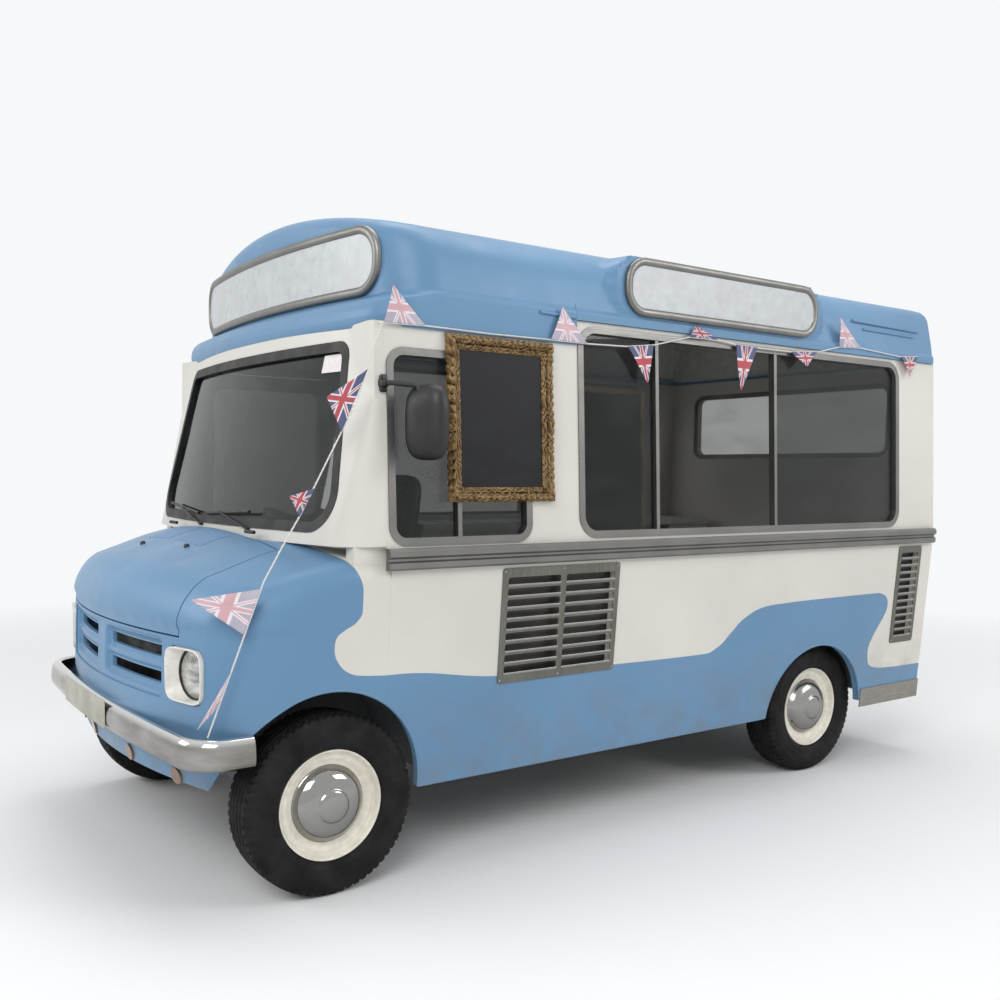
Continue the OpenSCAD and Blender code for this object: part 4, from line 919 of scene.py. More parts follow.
# %% [markdown]
# ## Wheels
# A wheel is turned: the tyre's, rim's and hub cap's sections are spun round the axle. The tread is part of
# the same grid. Its radius drops in zigzag grooves round the tyre and in notches across the shoulders.

# %% Wheels
WHEELS = {"fl": (0.0, 0.832), "fr": (0.0, -0.832), "rl": (-2.692, 0.764), "rr": (-2.692, -0.764)}
AXLE_Z = 0.32
TREAD_HALF, TREAD_R = 0.0715, 0.3198
GROOVES_AT = (-0.040, -0.014, 0.014, 0.040)
WALL = np.array([
    (0.1945, 0.060), (0.197, 0.072), (0.202, 0.0795), (0.209, 0.084), (0.216, 0.0862), (0.219, 0.0880),
    (0.2235, 0.0882), (0.226, 0.0875), (0.236, 0.0905), (0.249, 0.0922), (0.262, 0.0918), (0.274, 0.0898),
    (0.2765, 0.0906), (0.2815, 0.0896), (0.284, 0.0876), (0.294, 0.0850), (0.301, 0.0828), (0.307, 0.0802),
    (0.3115, 0.0770), (0.3145, 0.0735)])
RIM = [(0.075, 0.040), (0.137, 0.0415), (0.148, 0.0425), (0.154, 0.0460), (0.160, 0.0505), (0.167, 0.0520),
       (0.173, 0.0500), (0.177, 0.0500), (0.181, 0.0560), (0.1845, 0.0660), (0.1875, 0.0720),
       (0.1915, 0.0748), (0.1943, 0.0735), (0.1945, 0.0680), (0.1935, 0.062), (0.187, 0.056),
       (0.182, 0.030), (0.176, 0.0), (0.180, -0.05), (0.187, -0.060), (0.1940, -0.066), (0.1945, -0.0745),
       (0.188, -0.0745), (0.176, -0.058), (0.170, -0.040), (0.168, 0.0), (0.160, 0.030), (0.137, 0.034),
       (0.075, 0.033)]
CAP = [(0.0, 0.1005), (0.018, 0.1003), (0.034, 0.0993), (0.046, 0.0978), (0.053, 0.0958), (0.0565, 0.0925),
       (0.0585, 0.0895), (0.063, 0.0885), (0.075, 0.0872), (0.092, 0.0833), (0.107, 0.0765),
       (0.119, 0.0672), (0.127, 0.0570), (0.1315, 0.0485), (0.1345, 0.0455), (0.1368, 0.0440),
       (0.1370, 0.0428), (0.130, 0.0425), (0.0, 0.0430)]
across = np.linspace(TREAD_HALF, -TREAD_HALF, 56)
crown = np.column_stack([TREAD_R - 0.0038 * (across / TREAD_HALF) ** 2, across])
tyre_section = np.concatenate([WALL, crown, (WALL * [1, -1])[::-1]])


def tyre_shape(centre, side):
    """The tyre's section turned round the axle, with radius taken off in the grooves and shoulder notches."""
    radius, out = tyre_section.T
    steps = 384
    angle = np.linspace(0, 2 * np.pi, steps, endpoint=False)[:, None]
    zigzag = 0.004 * np.abs((angle * 40 / np.pi) % 2 - 1) - 0.002
    lines = np.stack([np.abs(out + zigzag - at) for at in GROOVES_AT]).min(axis=0)
    groove = 1 - smooth_step(lines, 0.0022, 0.0046)
    notch = (np.abs(out) > 0.056) * (radius > 0.300) * (np.sin(angle * 64) > 0.55)
    reach = radius - (np.where(np.abs(out) < TREAD_HALF + 0.0001, 0.0075 * groove, 0) + 0.0055 * notch)
    x = centre[0] + reach * np.cos(angle)
    z = centre[2] + reach * np.sin(angle)
    return grid(np.stack([x, centre[1] + side * out + 0 * angle, z], axis=-1), wrap_u=True, wrap_v=True)


tyre_finish = Finish("tyre_rubber")
dusty = tyre_finish.math("MULTIPLY", tyre_finish.span(tyre_finish.noise(11, 6), 0.38, 0.72), 0.5)
tyre_finish.look(
    Base_Color=tyre_finish.blend(dusty, rgb(14, 14, 15), rgb(46, 44, 42)),
    Roughness=tyre_finish.span(tyre_finish.noise(20, 4), 0.3, 0.7, 0.6, 0.8), Specular_IOR_Level=0.2,
    Normal=tyre_finish.bump(tyre_finish.noise(240, 3), 0.0005, 0.5))
for wheel, (x, y) in WHEELS.items():
    hub = np.array([x + AXLE_X, y, AXLE_Z])
    side = 1 if y > 0 else -1
    wheel_parts = [
        ("tread_", tyre_finish.material, tyre_shape(hub, side), "tyre_", "tyre", 40),
        ("wheel_rim_", FINISHES["rim"], turned(RIM, hub, 128, side, True), "rim_", "cream_paint", 40),
        ("wheel_cap_", FINISHES["chrome"], turned(CAP, hub, 128, side), "hubcap_", "chrome", 50),
    ]
    for part, finish, shape, node, slot, sharp in wheel_parts:
        make(part + wheel, "wheel_" + wheel, finish, [shape], replaces=[node + wheel], slot=slot, sharp=sharp)

# %% [markdown]
# ## Sign boxes
# Three sign boxes stand on the roof's band: one across the front and one on each side. Each has a half-
# round metal rim and a pale acrylic board. The front one follows the bow of the roof, so its board is a
# grid whose columns run between the lower and the upper edge of the rounded outline.

# %% Signs
FASCIA_X, FASCIA_BOW = -0.1655, 8.4
SIGN_Y = 0.9549
SIDE_SIGN = np.array([-2.481, -1.274, 2.110, 2.345, 0.105])
FRONT_SIGN = np.array([-0.815, 0.815, 2.100, 2.352, 0.115])
BOARD_INSET = np.array([0.032, -0.032, 0.032, -0.032, -0.030])
RIM_SECTION = np.array([
    (0.0, 0.0004), (0.0, 0.012), (-0.003, 0.017), (-0.009, 0.0205), (-0.017, 0.0215), (-0.025, 0.0200),
    (-0.031, 0.016), (-0.034, 0.010), (-0.034, 0.0004)])


def board(u0, u1, v0, v1, radius, low, high, place, columns=72):
    """A closed plate inside a rounded rectangle, made of columns between its lower and upper edge."""
    ends = radius * (1 - np.cos(np.linspace(0, np.pi / 2, 14)))
    u = np.concatenate([u0 + ends, np.linspace(u0 + radius, u1 - radius, columns)[1:-1], (u1 - ends)[::-1]])
    inset = np.minimum(np.minimum(u - u0, u1 - u), radius)
    half = (v1 - v0) / 2 - radius + np.sqrt(np.maximum(radius**2 - (radius - inset) ** 2, 0))
    t = np.linspace(-1, 1, 9)
    v = (v0 + v1) / 2 + half[:, None] * np.concatenate([t, t[::-1]])
    w = np.broadcast_to(np.repeat([high, low], 9), v.shape)
    points = placed(np.dstack([np.broadcast_to(u[:, None], v.shape), v, w]), place)
    return grid(closed_ends(points), wrap_v=True)


def on_side(side, foot):
    """Maps (length, height, outwards) to an upright plane at the given half width."""
    return lambda u, v, w: (u + AXLE_X, side * (foot + w), v + 0 * u)


def on_fascia(u, v, w):
    """Maps (sideways, height, outwards) to the bowed front of the roof."""
    return w + FASCIA_X - u**2 / FASCIA_BOW + AXLE_X, u, v


side_outline = spaced(round_rect(*SIDE_SIGN, 12), 0.05)
front_outline = spaced(round_rect(*FRONT_SIGN, 12), 0.03)
sign_rims = [rim(side_outline, RIM_SECTION, on_side(side, SIGN_Y)) for side in SIDES]
sign_rims.append(rim(front_outline, RIM_SECTION * [1, 0.92], on_fascia))
make("sign_rims", "body", FINISHES["aluminium"], sign_rims, replaces=["signs"], slot="aluminium", sharp=40)
acrylic = enamel("sign_acrylic", rgb(192, 196, 198), rgb(172, 170, 162), 0.3, (0.25, 0.4), 24)
sign_boards = [board(*SIDE_SIGN + BOARD_INSET, 0.0004, 0.013, on_side(side, SIGN_Y)) for side in SIDES]
sign_boards.append(board(*FRONT_SIGN + BOARD_INSET, 0.0004, 0.012, on_fascia))
make("sign_boards", "body", acrylic, sign_boards, slot="cream_paint")

# %% [markdown]
# ## Menu board
# A slate in a carved and gilded picture frame hangs beside the hatch. The frame is one band of quads: one
# number runs round the rectangle, the other from the outer to the inner edge, which gives mitred corners.
# Its height is a moulding plus carving: beads along the inner edge, leaves along the outer, and cartouches
# at corners and middles.

# %% Menu frame
FRAME_OUTER, FRAME_INNER = (-0.903, -0.423, 1.365, 1.965), (-0.848, -0.478, 1.420, 1.910)
FRAME_WIDE = 0.055
FRAME_BACK, FRAME_EDGE = 0.0058, 0.0065


def on_wall(u, v, w):
    """Maps (length, height, outwards) to the leaning left side."""
    return u + AXLE_X, side_y(v) + w, v


def lap_points(u0, u1, v0, v1):
    """Points that run round a rectangle, one edge for each whole number of laps."""
    corners = np.array([(u0, v0), (u1, v0), (u1, v1), (u0, v1)])
    return corners[edge] + (corners[(edge + 1) % 4] - corners[edge]) * along_edge[:, None]


def hump(value, middle, width):
    """A bell curve: 1 at the middle, falling off within about the width on both sides."""
    return np.exp(-(((value - middle) / width) ** 2))


lap = np.linspace(0, 4, 640, endpoint=False)
edge = lap.astype(int)
along_edge = lap - edge
share = np.linspace(0, 1, 30)
outer_line, inner_line = lap_points(*FRAME_OUTER), lap_points(*FRAME_INNER)
from_corner = np.minimum(along_edge, 1 - along_edge)
from_middle = np.abs(along_edge - 0.5)
cartouche = hump(from_corner, 0, 0.07) + 0.8 * hump(from_middle, 0, 0.06)
leaf = np.abs(np.sin(along_edge * np.pi * 17)) ** 0.7
bead = np.abs(np.sin(along_edge * np.pi * 52))
scallop = 0.009 * (1 - leaf) * (1 - np.clip(cartouche, 0, 1))
moulding = 0.016 + 0.013 * np.sin(share * np.pi * 0.9 + 0.35) ** 2
leaves = 0.010 * leaf[:, None] ** 0.6 * hump(share, 0.28, 0.16)
groove = 0.006 * hump(share, 0.62, 0.06)
beads = 0.004 * bead[:, None] * hump(share, 0.88, 0.06)
scrolls = 0.0035 * np.sin(lap * 97 + 3 * np.sin(lap * 31))[:, None] * np.sin(share * 23 + lap[:, None] * 41)
crests = 0.007 * cartouche[:, None] * hump(share, 0.35, 0.3)
height = np.clip(moulding + (leaves - groove + beads + scrolls + crests), 0.012, 0.0435)
height[:, 0] = FRAME_EDGE
line = outer_line[:, None] * (1 - share[:, None]) + inner_line[:, None] * share[:, None]
notches = (scallop[:, None] * (1 - share) ** 2)[..., None] / FRAME_WIDE
front = np.dstack([line + (inner_line - outer_line)[:, None] * notches, height])
back = front[:, ::-1] * [1, 1, 0] + [0, 0, FRAME_BACK]
frame_band = grid(placed(np.concatenate([front, back], axis=1), on_wall), wrap_u=True, wrap_v=True)
gilt = Finish("worn_gilt")
hollow = gilt.span(gilt.add("NewGeometry").outputs["Pointiness"], 0.44, 0.53)
patch = gilt.span(gilt.noise(26, 5), 0.35, 0.7)
gold = gilt.blend(patch, rgb(112, 86, 50), rgb(160, 132, 86))
gilt.look(
    Base_Color=gilt.blend(hollow, rgb(40, 29, 16), gold), Metallic=0.45,
    Roughness=gilt.span(patch, 0, 1, 0.38, 0.6), Normal=gilt.bump(gilt.noise(150, 4), 0.0012, 0.6))
make("menu_frame", "body", gilt.material, [frame_band], replaces=["menu_board"], slot="gilt_wood", sharp=60)

# %% [markdown]
# The frame holds a slate that has been wiped many times, so pale smears of chalk lie on it. A second slate
# stands behind the hatch's glass. Each is a thin plate: lengths, heights, corner radius, and depths from
# the side.

# %% Slates
slate = Finish("wiped_slate")
smear = slate.span(slate.noise(5, 7, (1, 1, 2.2)), 0.45, 0.85, 0.0, 0.22)
dust = slate.math("MULTIPLY", smear, slate.span(slate.noise(70, 4), 0.3, 0.7, 0.5, 1.0))
slate.look(
    Base_Color=slate.blend(dust, rgb(12, 13, 16), rgb(74, 76, 80)), Specular_IOR_Level=0.25,
    Roughness=slate.span(dust, 0, 0.3, 0.45, 0.7), Normal=slate.bump(slate.noise(200, 3), 0.0003, 0.4))
SLATES = {
    "counter_slate_frame": (gilt, (-1.452, -1.078, 1.228, 1.822, 0.004, -0.0750, -0.0630)),
    "counter_slate": (slate, (-1.430, -1.100, 1.250, 1.800, 0.004, -0.0625, -0.0600)),
    "menu_slate": (slate, (-0.852, -0.474, 1.416, 1.914, 0.006, FRAME_BACK, 0.0135)),
}
for name, (finish, sizes) in SLATES.items():
    make(name, "body", finish.material, [board(*sizes, on_wall)], slot="gilt_wood")

# %% [markdown]
# ## Bunting
# A cotton cord carries small cloth flags along the roof edge and down to the bumper. Its route is a list of
# points on three planes: one along the roof's band, one beside the windscreen post, and one that turns in
# over the wing.

# %% Bunting cord
ROOF_CORD = [(-0.148, 1.976), (-0.335, 1.980), (-0.620, 1.976), (-0.893, 1.978), (-1.090, 1.978),
             (-1.290, 1.984), (-1.440, 2.002), (-1.640, 2.050), (-1.820, 2.053), (-1.930, 2.043),
             (-2.070, 2.040), (-2.300, 2.040), (-2.500, 2.054), (-2.650, 2.088), (-2.820, 2.098),
             (-3.160, 2.080), (-3.310, 2.091)]
POST_CORD = [(0.280, 1.120), (0.213, 1.234), (0.153, 1.329), (0.046, 1.525), (-0.054, 1.708), (-0.110, 1.877),
             (-0.148, 1.970)]
WING_CORD = [(0.183, 0.6145), (0.0, 1.120)]
ROOF_CORD_Y, POST_CORD_Y = 0.9622, 0.9915
WING_TURN = math.radians(-35)
CORD_R = 0.0028
CORD_STEPS = 400


def on_wing(points):
    """(along, height) points of the lower run, which swings inwards towards the bumper."""
    u, v = np.array(points).T
    x = POST_CORD[0][0] + u * math.cos(WING_TURN)
    return np.column_stack([x, POST_CORD_Y + u * math.sin(WING_TURN), v])


def on_upright(points, y):
    """(length, height) points on the upright plane at a half width."""
    x, z = np.array(points).T
    return np.column_stack([x, np.full_like(x, y), z])


post_run = on_upright(POST_CORD, POST_CORD_Y)
roof_run = on_upright(ROOF_CORD, ROOF_CORD_Y)
knots = np.concatenate([on_wing(WING_CORD), post_run[1:], roof_run])
steps = np.concatenate([[0], np.cumsum(np.linalg.norm(np.diff(knots, axis=0), axis=1))])
at = np.linspace(0, steps[-1], CORD_STEPS)
cord_path = on_van(np.column_stack([np.interp(at, steps, knots[:, k]) for k in range(3)]))
cord_run = unit(np.gradient(cord_path, axis=0))
sideways = unit(SIDEWAYS - cord_run * (SIDEWAYS * cord_run).sum(axis=1)[:, None])
strand = swept(cord_path, sideways, np.cross(cord_run, sideways), ring_points(CORD_R, 8))
cotton = Finish("cotton_cord")
waves = {"Vector": cotton.place, "Scale": 90.0, "Distortion": 2.0}
twist = cotton.add("TexWave", waves, bands_direction="DIAGONAL").outputs[1]
cotton.look(
    Base_Color=cotton.blend(twist, rgb(196, 194, 188), rgb(232, 231, 226)), Roughness=0.85,
    Normal=cotton.bump(twist, 0.0006, 0.7))
cord = make("bunting_cord", "body", cotton.material, [strand], replaces=["bunting"], slot="fabric")

# %% [markdown]
# Each flag is a three-cornered sheet: straight lines run from its sewn edge to its tip, and a wave that
# grows towards the tip lifts it off the side. Its crosses are worked out from the flag's own flat
# coordinates, so that the print follows the cloth.

# %% Bunting flags
FLAG_OFF = 0.0033
CLOTH = 0.0007


def flag_finish(name, faded):
    """Printed cotton: a red upright cross edged in white, over white and red diagonals on blue, sun-faded."""
    finish = Finish(name)
    flat = finish.add("SeparateXYZ", {0: finish.add("UVMap", uv_map="flat").outputs[0]}).outputs
    across = finish.math("ABSOLUTE", flat[0])
    down = finish.math("ABSOLUTE", finish.math("SUBTRACT", flat[1], 0.42))
    upright = finish.math("MINIMUM", across, finish.math("MULTIPLY", down, 0.9))
    slant = finish.math("ABSOLUTE", finish.math("SUBTRACT", across, finish.math("MULTIPLY", down, 1.2)))

    def crosses(upright_half, slant_half):
        """1 within these half widths of the upright cross or of the diagonals."""
        straight = finish.math("LESS_THAN", upright, upright_half)
        return finish.math("MAXIMUM", straight, finish.math("LESS_THAN", slant, slant_half))

    ground = finish.blend(crosses(0.125, 0.085), rgb(48, 62, 112), rgb(226, 222, 222))
    printed = finish.blend(crosses(0.075, 0.028), ground, rgb(176, 44, 58))
    pale = finish.span(finish.noise(7, 3), 0.3, 0.7, faded * 0.8, faded * 1.15)
    return finish.look(
        Base_Color=finish.blend(pale, printed, rgb(232, 222, 228)), Roughness=0.85, Sheen_Weight=0.2,
        Normal=finish.bump(finish.noise(900, 2), 0.0004, 0.5))


FRESH, FADED = flag_finish("flag_print", 0.08), flag_finish("flag_print_faded", 0.55)


def flag(number, corners, outward_way, print_finish, swell):
    """A sheet from the sewn edge a-b to the tip, with a wave along outward_way that grows towards the tip."""
    u = np.linspace(0, 1, 22)[:, None, None]
    v = np.linspace(0, 0.985, 26)[None, :, None]
    a, b, tip = corners
    base = a + u * (b - a)
    wave = 0.5 + 0.5 * np.sin(3.2 * v + 5.0 * u * (1 - v) + number)
    points = base * (1 - v) + tip * v + outward_way * (0.0042 * v + swell * v * (1 - 0.3 * v) * wave)
    piece = plain(f"flag_{number}", [grid(on_van(points))])
    flat = np.concatenate(np.broadcast_arrays((2 * u - 1) * (1 - v), v), axis=-1).reshape(-1, 2)
    loops = np.zeros(len(piece.data.loops), int)
    piece.data.loops.foreach_get("vertex_index", loops)
    piece.data.uv_layers.new(name="flat").data.foreach_set("uv", flat[loops].ravel())
    thicken(piece, CLOTH)
    settle(piece, "body", print_finish, slot="fabric", sharp=180)


# Each flag: both ends of its sewn edge and its tip, then its print.
ROOF_FLAGS = [
    ((-0.170, 1.977), (-0.335, 1.980), (-0.200, 2.104), FADED),
    ((-0.893, 1.978), (-1.075, 1.978), (-0.945, 2.106), FADED),
    ((-1.290, 1.984), (-1.430, 2.001), (-1.400, 1.842), FRESH),
    ((-1.640, 2.050), (-1.815, 2.053), (-1.668, 2.098), FRESH),
    ((-1.930, 2.043), (-2.070, 2.040), (-1.952, 1.842), FRESH),
    ((-2.300, 2.040), (-2.490, 2.053), (-2.400, 1.978), FRESH),
    ((-2.655, 2.088), (-2.820, 2.098), (-2.640, 2.228), FADED),
    ((-3.160, 2.080), (-3.310, 2.091), (-3.232, 1.986), FRESH),
]
POST_FLAGS = [
    ((-0.092, 1.812), (0.006, 1.600), (0.062, 1.712), FRESH),
    ((0.102, 1.416), (0.158, 1.322), (0.196, 1.390), FRESH),
]
WING_FLAGS = [
    ((0.009, 1.096), (0.063, 0.948), (0.226, 1.062), FADED),
    ((0.103, 0.836), (0.147, 0.716), (0.206, 0.648), FADED),
]
wing_out = np.array([-math.sin(WING_TURN), math.cos(WING_TURN), 0])
hangings = [(on_upright(rows[:3], ROOF_CORD_Y + FLAG_OFF), SIDEWAYS, rows[3], 0.016) for rows in ROOF_FLAGS]
hangings += [(on_upright(rows[:3], POST_CORD_Y + FLAG_OFF), SIDEWAYS, rows[3], 0.02) for rows in POST_FLAGS]
for rows, swell in zip(WING_FLAGS, (0.018, 0.05)):
    hangings.append((on_wing(rows[:3]) + wing_out * FLAG_OFF, wing_out, rows[3], swell))
for number, hanging in enumerate(hangings):
    flag(number, *hanging)

# %% [markdown]
# ## Roof
# The roof is a glass-fibre moulding: a crowned top with soft shoulders, sides that lean in above a proud
# band, and a rounded peak over the windscreen. Its form is a distance field again: the front stands further
# out at the peak's height, and bulges behind the side signs are joined on. Rays start on a spine inside it.
# They go level where the sides are, and then tip up until they point straight at the crown.

# %% Roof form
ROOF_WALL = [(1.90, 0.9543), (2.098, 0.9543), (2.112, 0.9450), (2.16, 0.9380), (2.22, 0.9255), (2.30, 0.9085),
             (2.45, 0.8980)]
PEAK = [(1.969, 0.045), (1.976, 0.060), (1.99, 0.068), (2.01, 0.070), (2.035, 0.066), (2.055, 0.056),
        (2.072, 0.040), (2.085, 0.018), (2.092, 0.004), (2.10, 0.0)]
PEAK_BOW, CROWN_BOW = 12, 6.4
ROOF_REAR, ROOF_TOP = -3.4875, 2.4615
SIGN_BULGE = (-2.545, -1.210, 2.106, 2.352, 0.12)


def roof_field(x, y, z):
    """Distance to the roof: bowed front and peak, leaning sides, upright rear, crown and sign bulges."""
    wall = np.abs(y) - np.interp(z, *np.array(ROOF_WALL).T)
    bow = y**2 * np.interp(z, [2.075, 2.10], [1 / PEAK_BOW, 1 / FASCIA_BOW])
    front = x + bow - FASCIA_X - np.interp(z, *np.array(PEAK).T)
    crown = z - (ROOF_TOP - y**2 / CROWN_BOW)
    ring = rounded(front, wall, np.interp(z, [2.075, 2.105], [0.10, 0.14]))
    ring = rounded(ring, ROOF_REAR - x, 0.03)
    roof = rounded(ring, crown, np.interp(x, [-3.47, -3.05, -0.6, -0.2], [0.05, 0.11, 0.11, 0.06]))
    bulge = rounded(box_distance(x, z, *SIGN_BULGE), np.abs(y) - 0.9546, 0.012)
    return joined(roof, bulge, 0.010)


print("the crown falls", round(ROOF_WALL[-1][1] ** 2 / CROWN_BOW, 3), "m from the middle to the walls")

# %% [markdown]
# The rays go once round: a fan in front, the left side, a fan behind that is denser at the corner, and the
# same mirrored. The roof comes down further over the cab than over the hatch. A ring further in makes the
# underside of the band, and the sheet's inner face gets the pale lining.

# %% Roof
SPINE_FRONT, SPINE_REAR, CAB_END = -0.62, -3.2, -1.03
CAB_FOOT, HATCH_FOOT, SHOULDER_Z = 1.9705, 2.0665, 2.17
FAN_STEPS, WALL_STEPS, CROWN_STEPS = 70, 36, 60
fan = np.linspace(0, np.pi / 2, FAN_STEPS)
corner_fan = np.radians(np.linspace(103.5, 109.5, 26))
rear_fan = np.sort(np.concatenate([np.linspace(np.pi / 2, np.pi, 26)[1:], corner_fan]))
over_cab = np.linspace(SPINE_FRONT, CAB_END + 0.001, 20)
over_hatch = np.linspace(CAB_END - 0.001, SPINE_REAR, 96)
side_x = np.concatenate([over_cab, over_hatch])
spine = np.concatenate([np.full(FAN_STEPS, SPINE_FRONT), side_x[1:], np.full(len(rear_fan), SPINE_REAR)])
turn = np.concatenate([fan, np.full(len(side_x) - 1, np.pi / 2), rear_fan])
spine = np.concatenate([spine, spine[-2:0:-1]])
turn = np.concatenate([turn, -turn[-2:0:-1]])[:, None]
lower = np.where(spine > CAB_END, CAB_FOOT, HATCH_FOOT)[:, None]
rise = np.concatenate([np.linspace(0, 1, WALL_STEPS), np.ones(CROWN_STEPS)])
tip = np.concatenate([np.zeros(WALL_STEPS), np.linspace(0, np.pi / 2, CROWN_STEPS + 1)[1:]])
start_z = lower + (SHOULDER_Z - lower) * rise
origin = np.stack(np.broadcast_arrays(spine[:, None], 0.0, start_z), axis=-1)
level = np.cos(tip)
rays = np.stack(np.broadcast_arrays(np.cos(turn) * level, np.sin(turn) * level, np.sin(tip)), axis=-1)
roof_points = skin(roof_field, origin, rays, 3.0)
soffit = origin[:, :1] + 0.86 * (roof_points[:, :1] - origin[:, :1])
roof = plain("roof_moulding", [grid(on_van(np.concatenate([soffit, roof_points], axis=1)), wrap_u=True)])
roof.data.materials.append(PAINTS["blue"])
roof.data.materials.append(FINISHES["white_unit"])
thicken(roof, 0.014, lining=1)
settle(roof, "body", None, replaces=["roof"], slot="blue_paint", sharp=42)
print("roof top", round(float(roof_points[..., 2].max()), 3))

# %% [markdown]
# Thin strips on the roof's left side throw the rain off. Each is a round bar, given by its lengths and
# heights at both ends, its radius, and the half width of the roof there.

# %% Rain strips
RAIN_STRIPS = [
    (-0.846, -1.02, 2.078, 2.072, 0.006, 0.957),
    (-2.80, -3.35, 2.232, 2.222, 0.007, 0.9285),
    (-2.88, -3.30, 2.196, 2.190, 0.005, 0.9345),
]


def strip(x0, x1, z0, z1, radius, y):
    """A round bar along the roof's side."""
    path = on_upright(np.linspace((x0, z0), (x1, z1), 24), y)
    return swept(on_van(path), SIDEWAYS, UPWARDS, ring_points(radius, 10))


make("rain_strips", "body", PAINTS["blue"], [strip(*sizes) for sizes in RAIN_STRIPS], slot="blue_paint")

# %% [markdown]
# ## Cab front
# The cream frame round the windscreen leans back and bows, and turns into the sides with a broad soft
# corner. It is the skin of a raked, bowed front and the leaning sides. The screen's opening is cut through
# it.

# %% Cab front
RAKE = math.tan(math.radians(12.4))
SCREEN_FOOT_X, SCREEN_FOOT_Z, SCREEN_BOW = 0.0700, 1.215, 10
POST_X = -0.134
CAB_REAR = -0.1760
SCREEN_LOW, SCREEN_HIGH = (0.868, 1.256, 0.135), (0.782, 1.935, 0.075)
SCREEN_LEAN = math.atan((SCREEN_LOW[0] - SCREEN_HIGH[0]) / (SCREEN_HIGH[1] - SCREEN_LOW[1]))
KNUCKLES_Y = (-0.46, -0.3995, 0.38, 0.4403)


def raked_x(z):
    """X of the raked screen in the middle of the van."""
    return SCREEN_FOOT_X - (z - SCREEN_FOOT_Z) * RAKE


def cab_field(x, y, z):
    """Distance to the cab: a raked, bowed front, upright at the posts, with round corners to the sides."""
    raked = raked_x(z) - y**2 / SCREEN_BOW
    front = raked + smooth_step(np.abs(y), 0.77, 0.90) * np.maximum(POST_X - raked, 0)
    corner = np.clip(raked_x(z) - 0.0893 + 0.149, 0.014, 0.115)
    return rounded((x - front) * 0.977, np.abs(y) - side_y(z), corner)


def screen_outline():
    """The screen's opening: narrower above, with round corners, as (sideways, height) points."""
    (wide, low, r_low), (narrow, high, r_high) = SCREEN_LOW, SCREEN_HIGH
    below, above = np.linspace(-np.pi / 2, SCREEN_LEAN, 14), np.linspace(SCREEN_LEAN, np.pi / 2, 14)
    foot = np.column_stack([wide - r_low + r_low * np.cos(below), low + r_low + r_low * np.sin(below)])
    head = np.column_stack([narrow - r_high + r_high * np.cos(above), high - r_high + r_high * np.sin(above)])
    half = np.concatenate([foot, head])
    return np.concatenate([half, half[::-1] * [-1, 1]])


def on_screen(u, v, w):
    """Maps (sideways, height, outwards) to the windscreen."""
    return raked_x(v) - u**2 / SCREEN_BOW + w + AXLE_X, u, v


turn = np.linspace(-np.pi / 2, np.pi / 2, 220)[:, None]
levels = np.linspace(1.2153, 1.9848, 60)[None, :]
origin = np.stack(np.broadcast_arrays(-0.32, 0 * turn, levels), axis=-1)
rays = np.stack(np.broadcast_arrays(np.cos(turn), np.sin(turn), 0 * levels), axis=-1)
cab = plain("cab_surround", [grid(on_van(skin(cab_field, origin, rays, 2.0)))])
thicken(cab, 0.036)
rear_room = block("rear_room", -1.0, CAB_REAR, -1.2, 1.2, 1.0, 2.1)
cut(cab, rear_room, front_room("screen_room", screen_outline(), -0.6, 0.6))
settle(cab, "body", PAINTS["cream"], replaces=["cab_front"], slot="cream_paint", sharp=40)
pins = [turned(rod(HINGE_R, y, y + 0.0195), (HINGE_X + AXLE_X, 0, HINGE_Z), 24) for y in KNUCKLES_Y]
make("hinge_knuckles", "body", FINISHES["black"], pins, slot="black_plastic")
paper = enamel("paper_label", rgb(232, 228, 226), rgb(206, 190, 186), 0.3, (0.5, 0.7), 50)
label = board(0.612, 0.742, 1.826, 1.890, 0.004, -0.0112, -0.0098, on_screen, 20)
make("screen_label", "body", paper, [label], slot="laminate")

# %% [markdown]
# ## Wheel-arch lips
# A rolled edge finishes each wheel arch. It follows the arch's circle in side view and the panel's own
# surface sideways, so its path is the circle carried out to the panel.

# %% Arch lips
NOSE_END = -0.19
LIP_R = 0.0065


def panel_y(x, z):
    """Half width of the nose where it reaches, and of the leaning side further back."""
    nose_y = skin(nose_field, np.stack([x, np.zeros_like(x), z], axis=-1), SIDEWAYS, 1.5)[..., 1]
    return np.where(x > NOSE_END, nose_y, side_y(z))


def arch_lip(arch, start, end, side):
    """A half-round bead along an arch, from one angle to another."""
    centre_x, centre_z, radius = arch
    a = np.linspace(start, end, 90)
    away = np.column_stack([np.cos(a), 0 * a, np.sin(a)])
    x = centre_x + (radius + 0.001) * np.cos(a)
    z = centre_z + (radius + 0.001) * np.sin(a)
    path = np.column_stack([x, side * (panel_y(x, z) - 0.004), z])
    return swept(on_van(path), away, SIDEWAYS, ring_points(LIP_R, 12) - [0.001, 0])


lips = [arch_lip(FRONT_ARCH, 0.13, math.pi + 0.09, side) for side in SIDES]
lips += [arch_lip(REAR_ARCH, 0.13, math.pi - 0.13, side) for side in SIDES]
make("arch_lips", "body", PAINTS["blue"], lips, slot="blue_paint", sharp=60)

# %% [markdown]
# ## Mirrors
# Each mirror is a moulded shell on a bent arm. A clamp holds the left one to the post beside the screen, and
# the right one to the driver's door. The shell is a rounded outline whose back swells like a pebble: rings of
# one superellipse that shrink along a quarter of a circle.

# %% Mirrors
MIRRORS = {"left": ("body", 1, -0.255, -0.169), "right": ("driver_door", -1, -0.305, -0.250)}
CLAMP_Y, CLAMP_Z = 0.956, 1.772
ARM_R = 0.0085


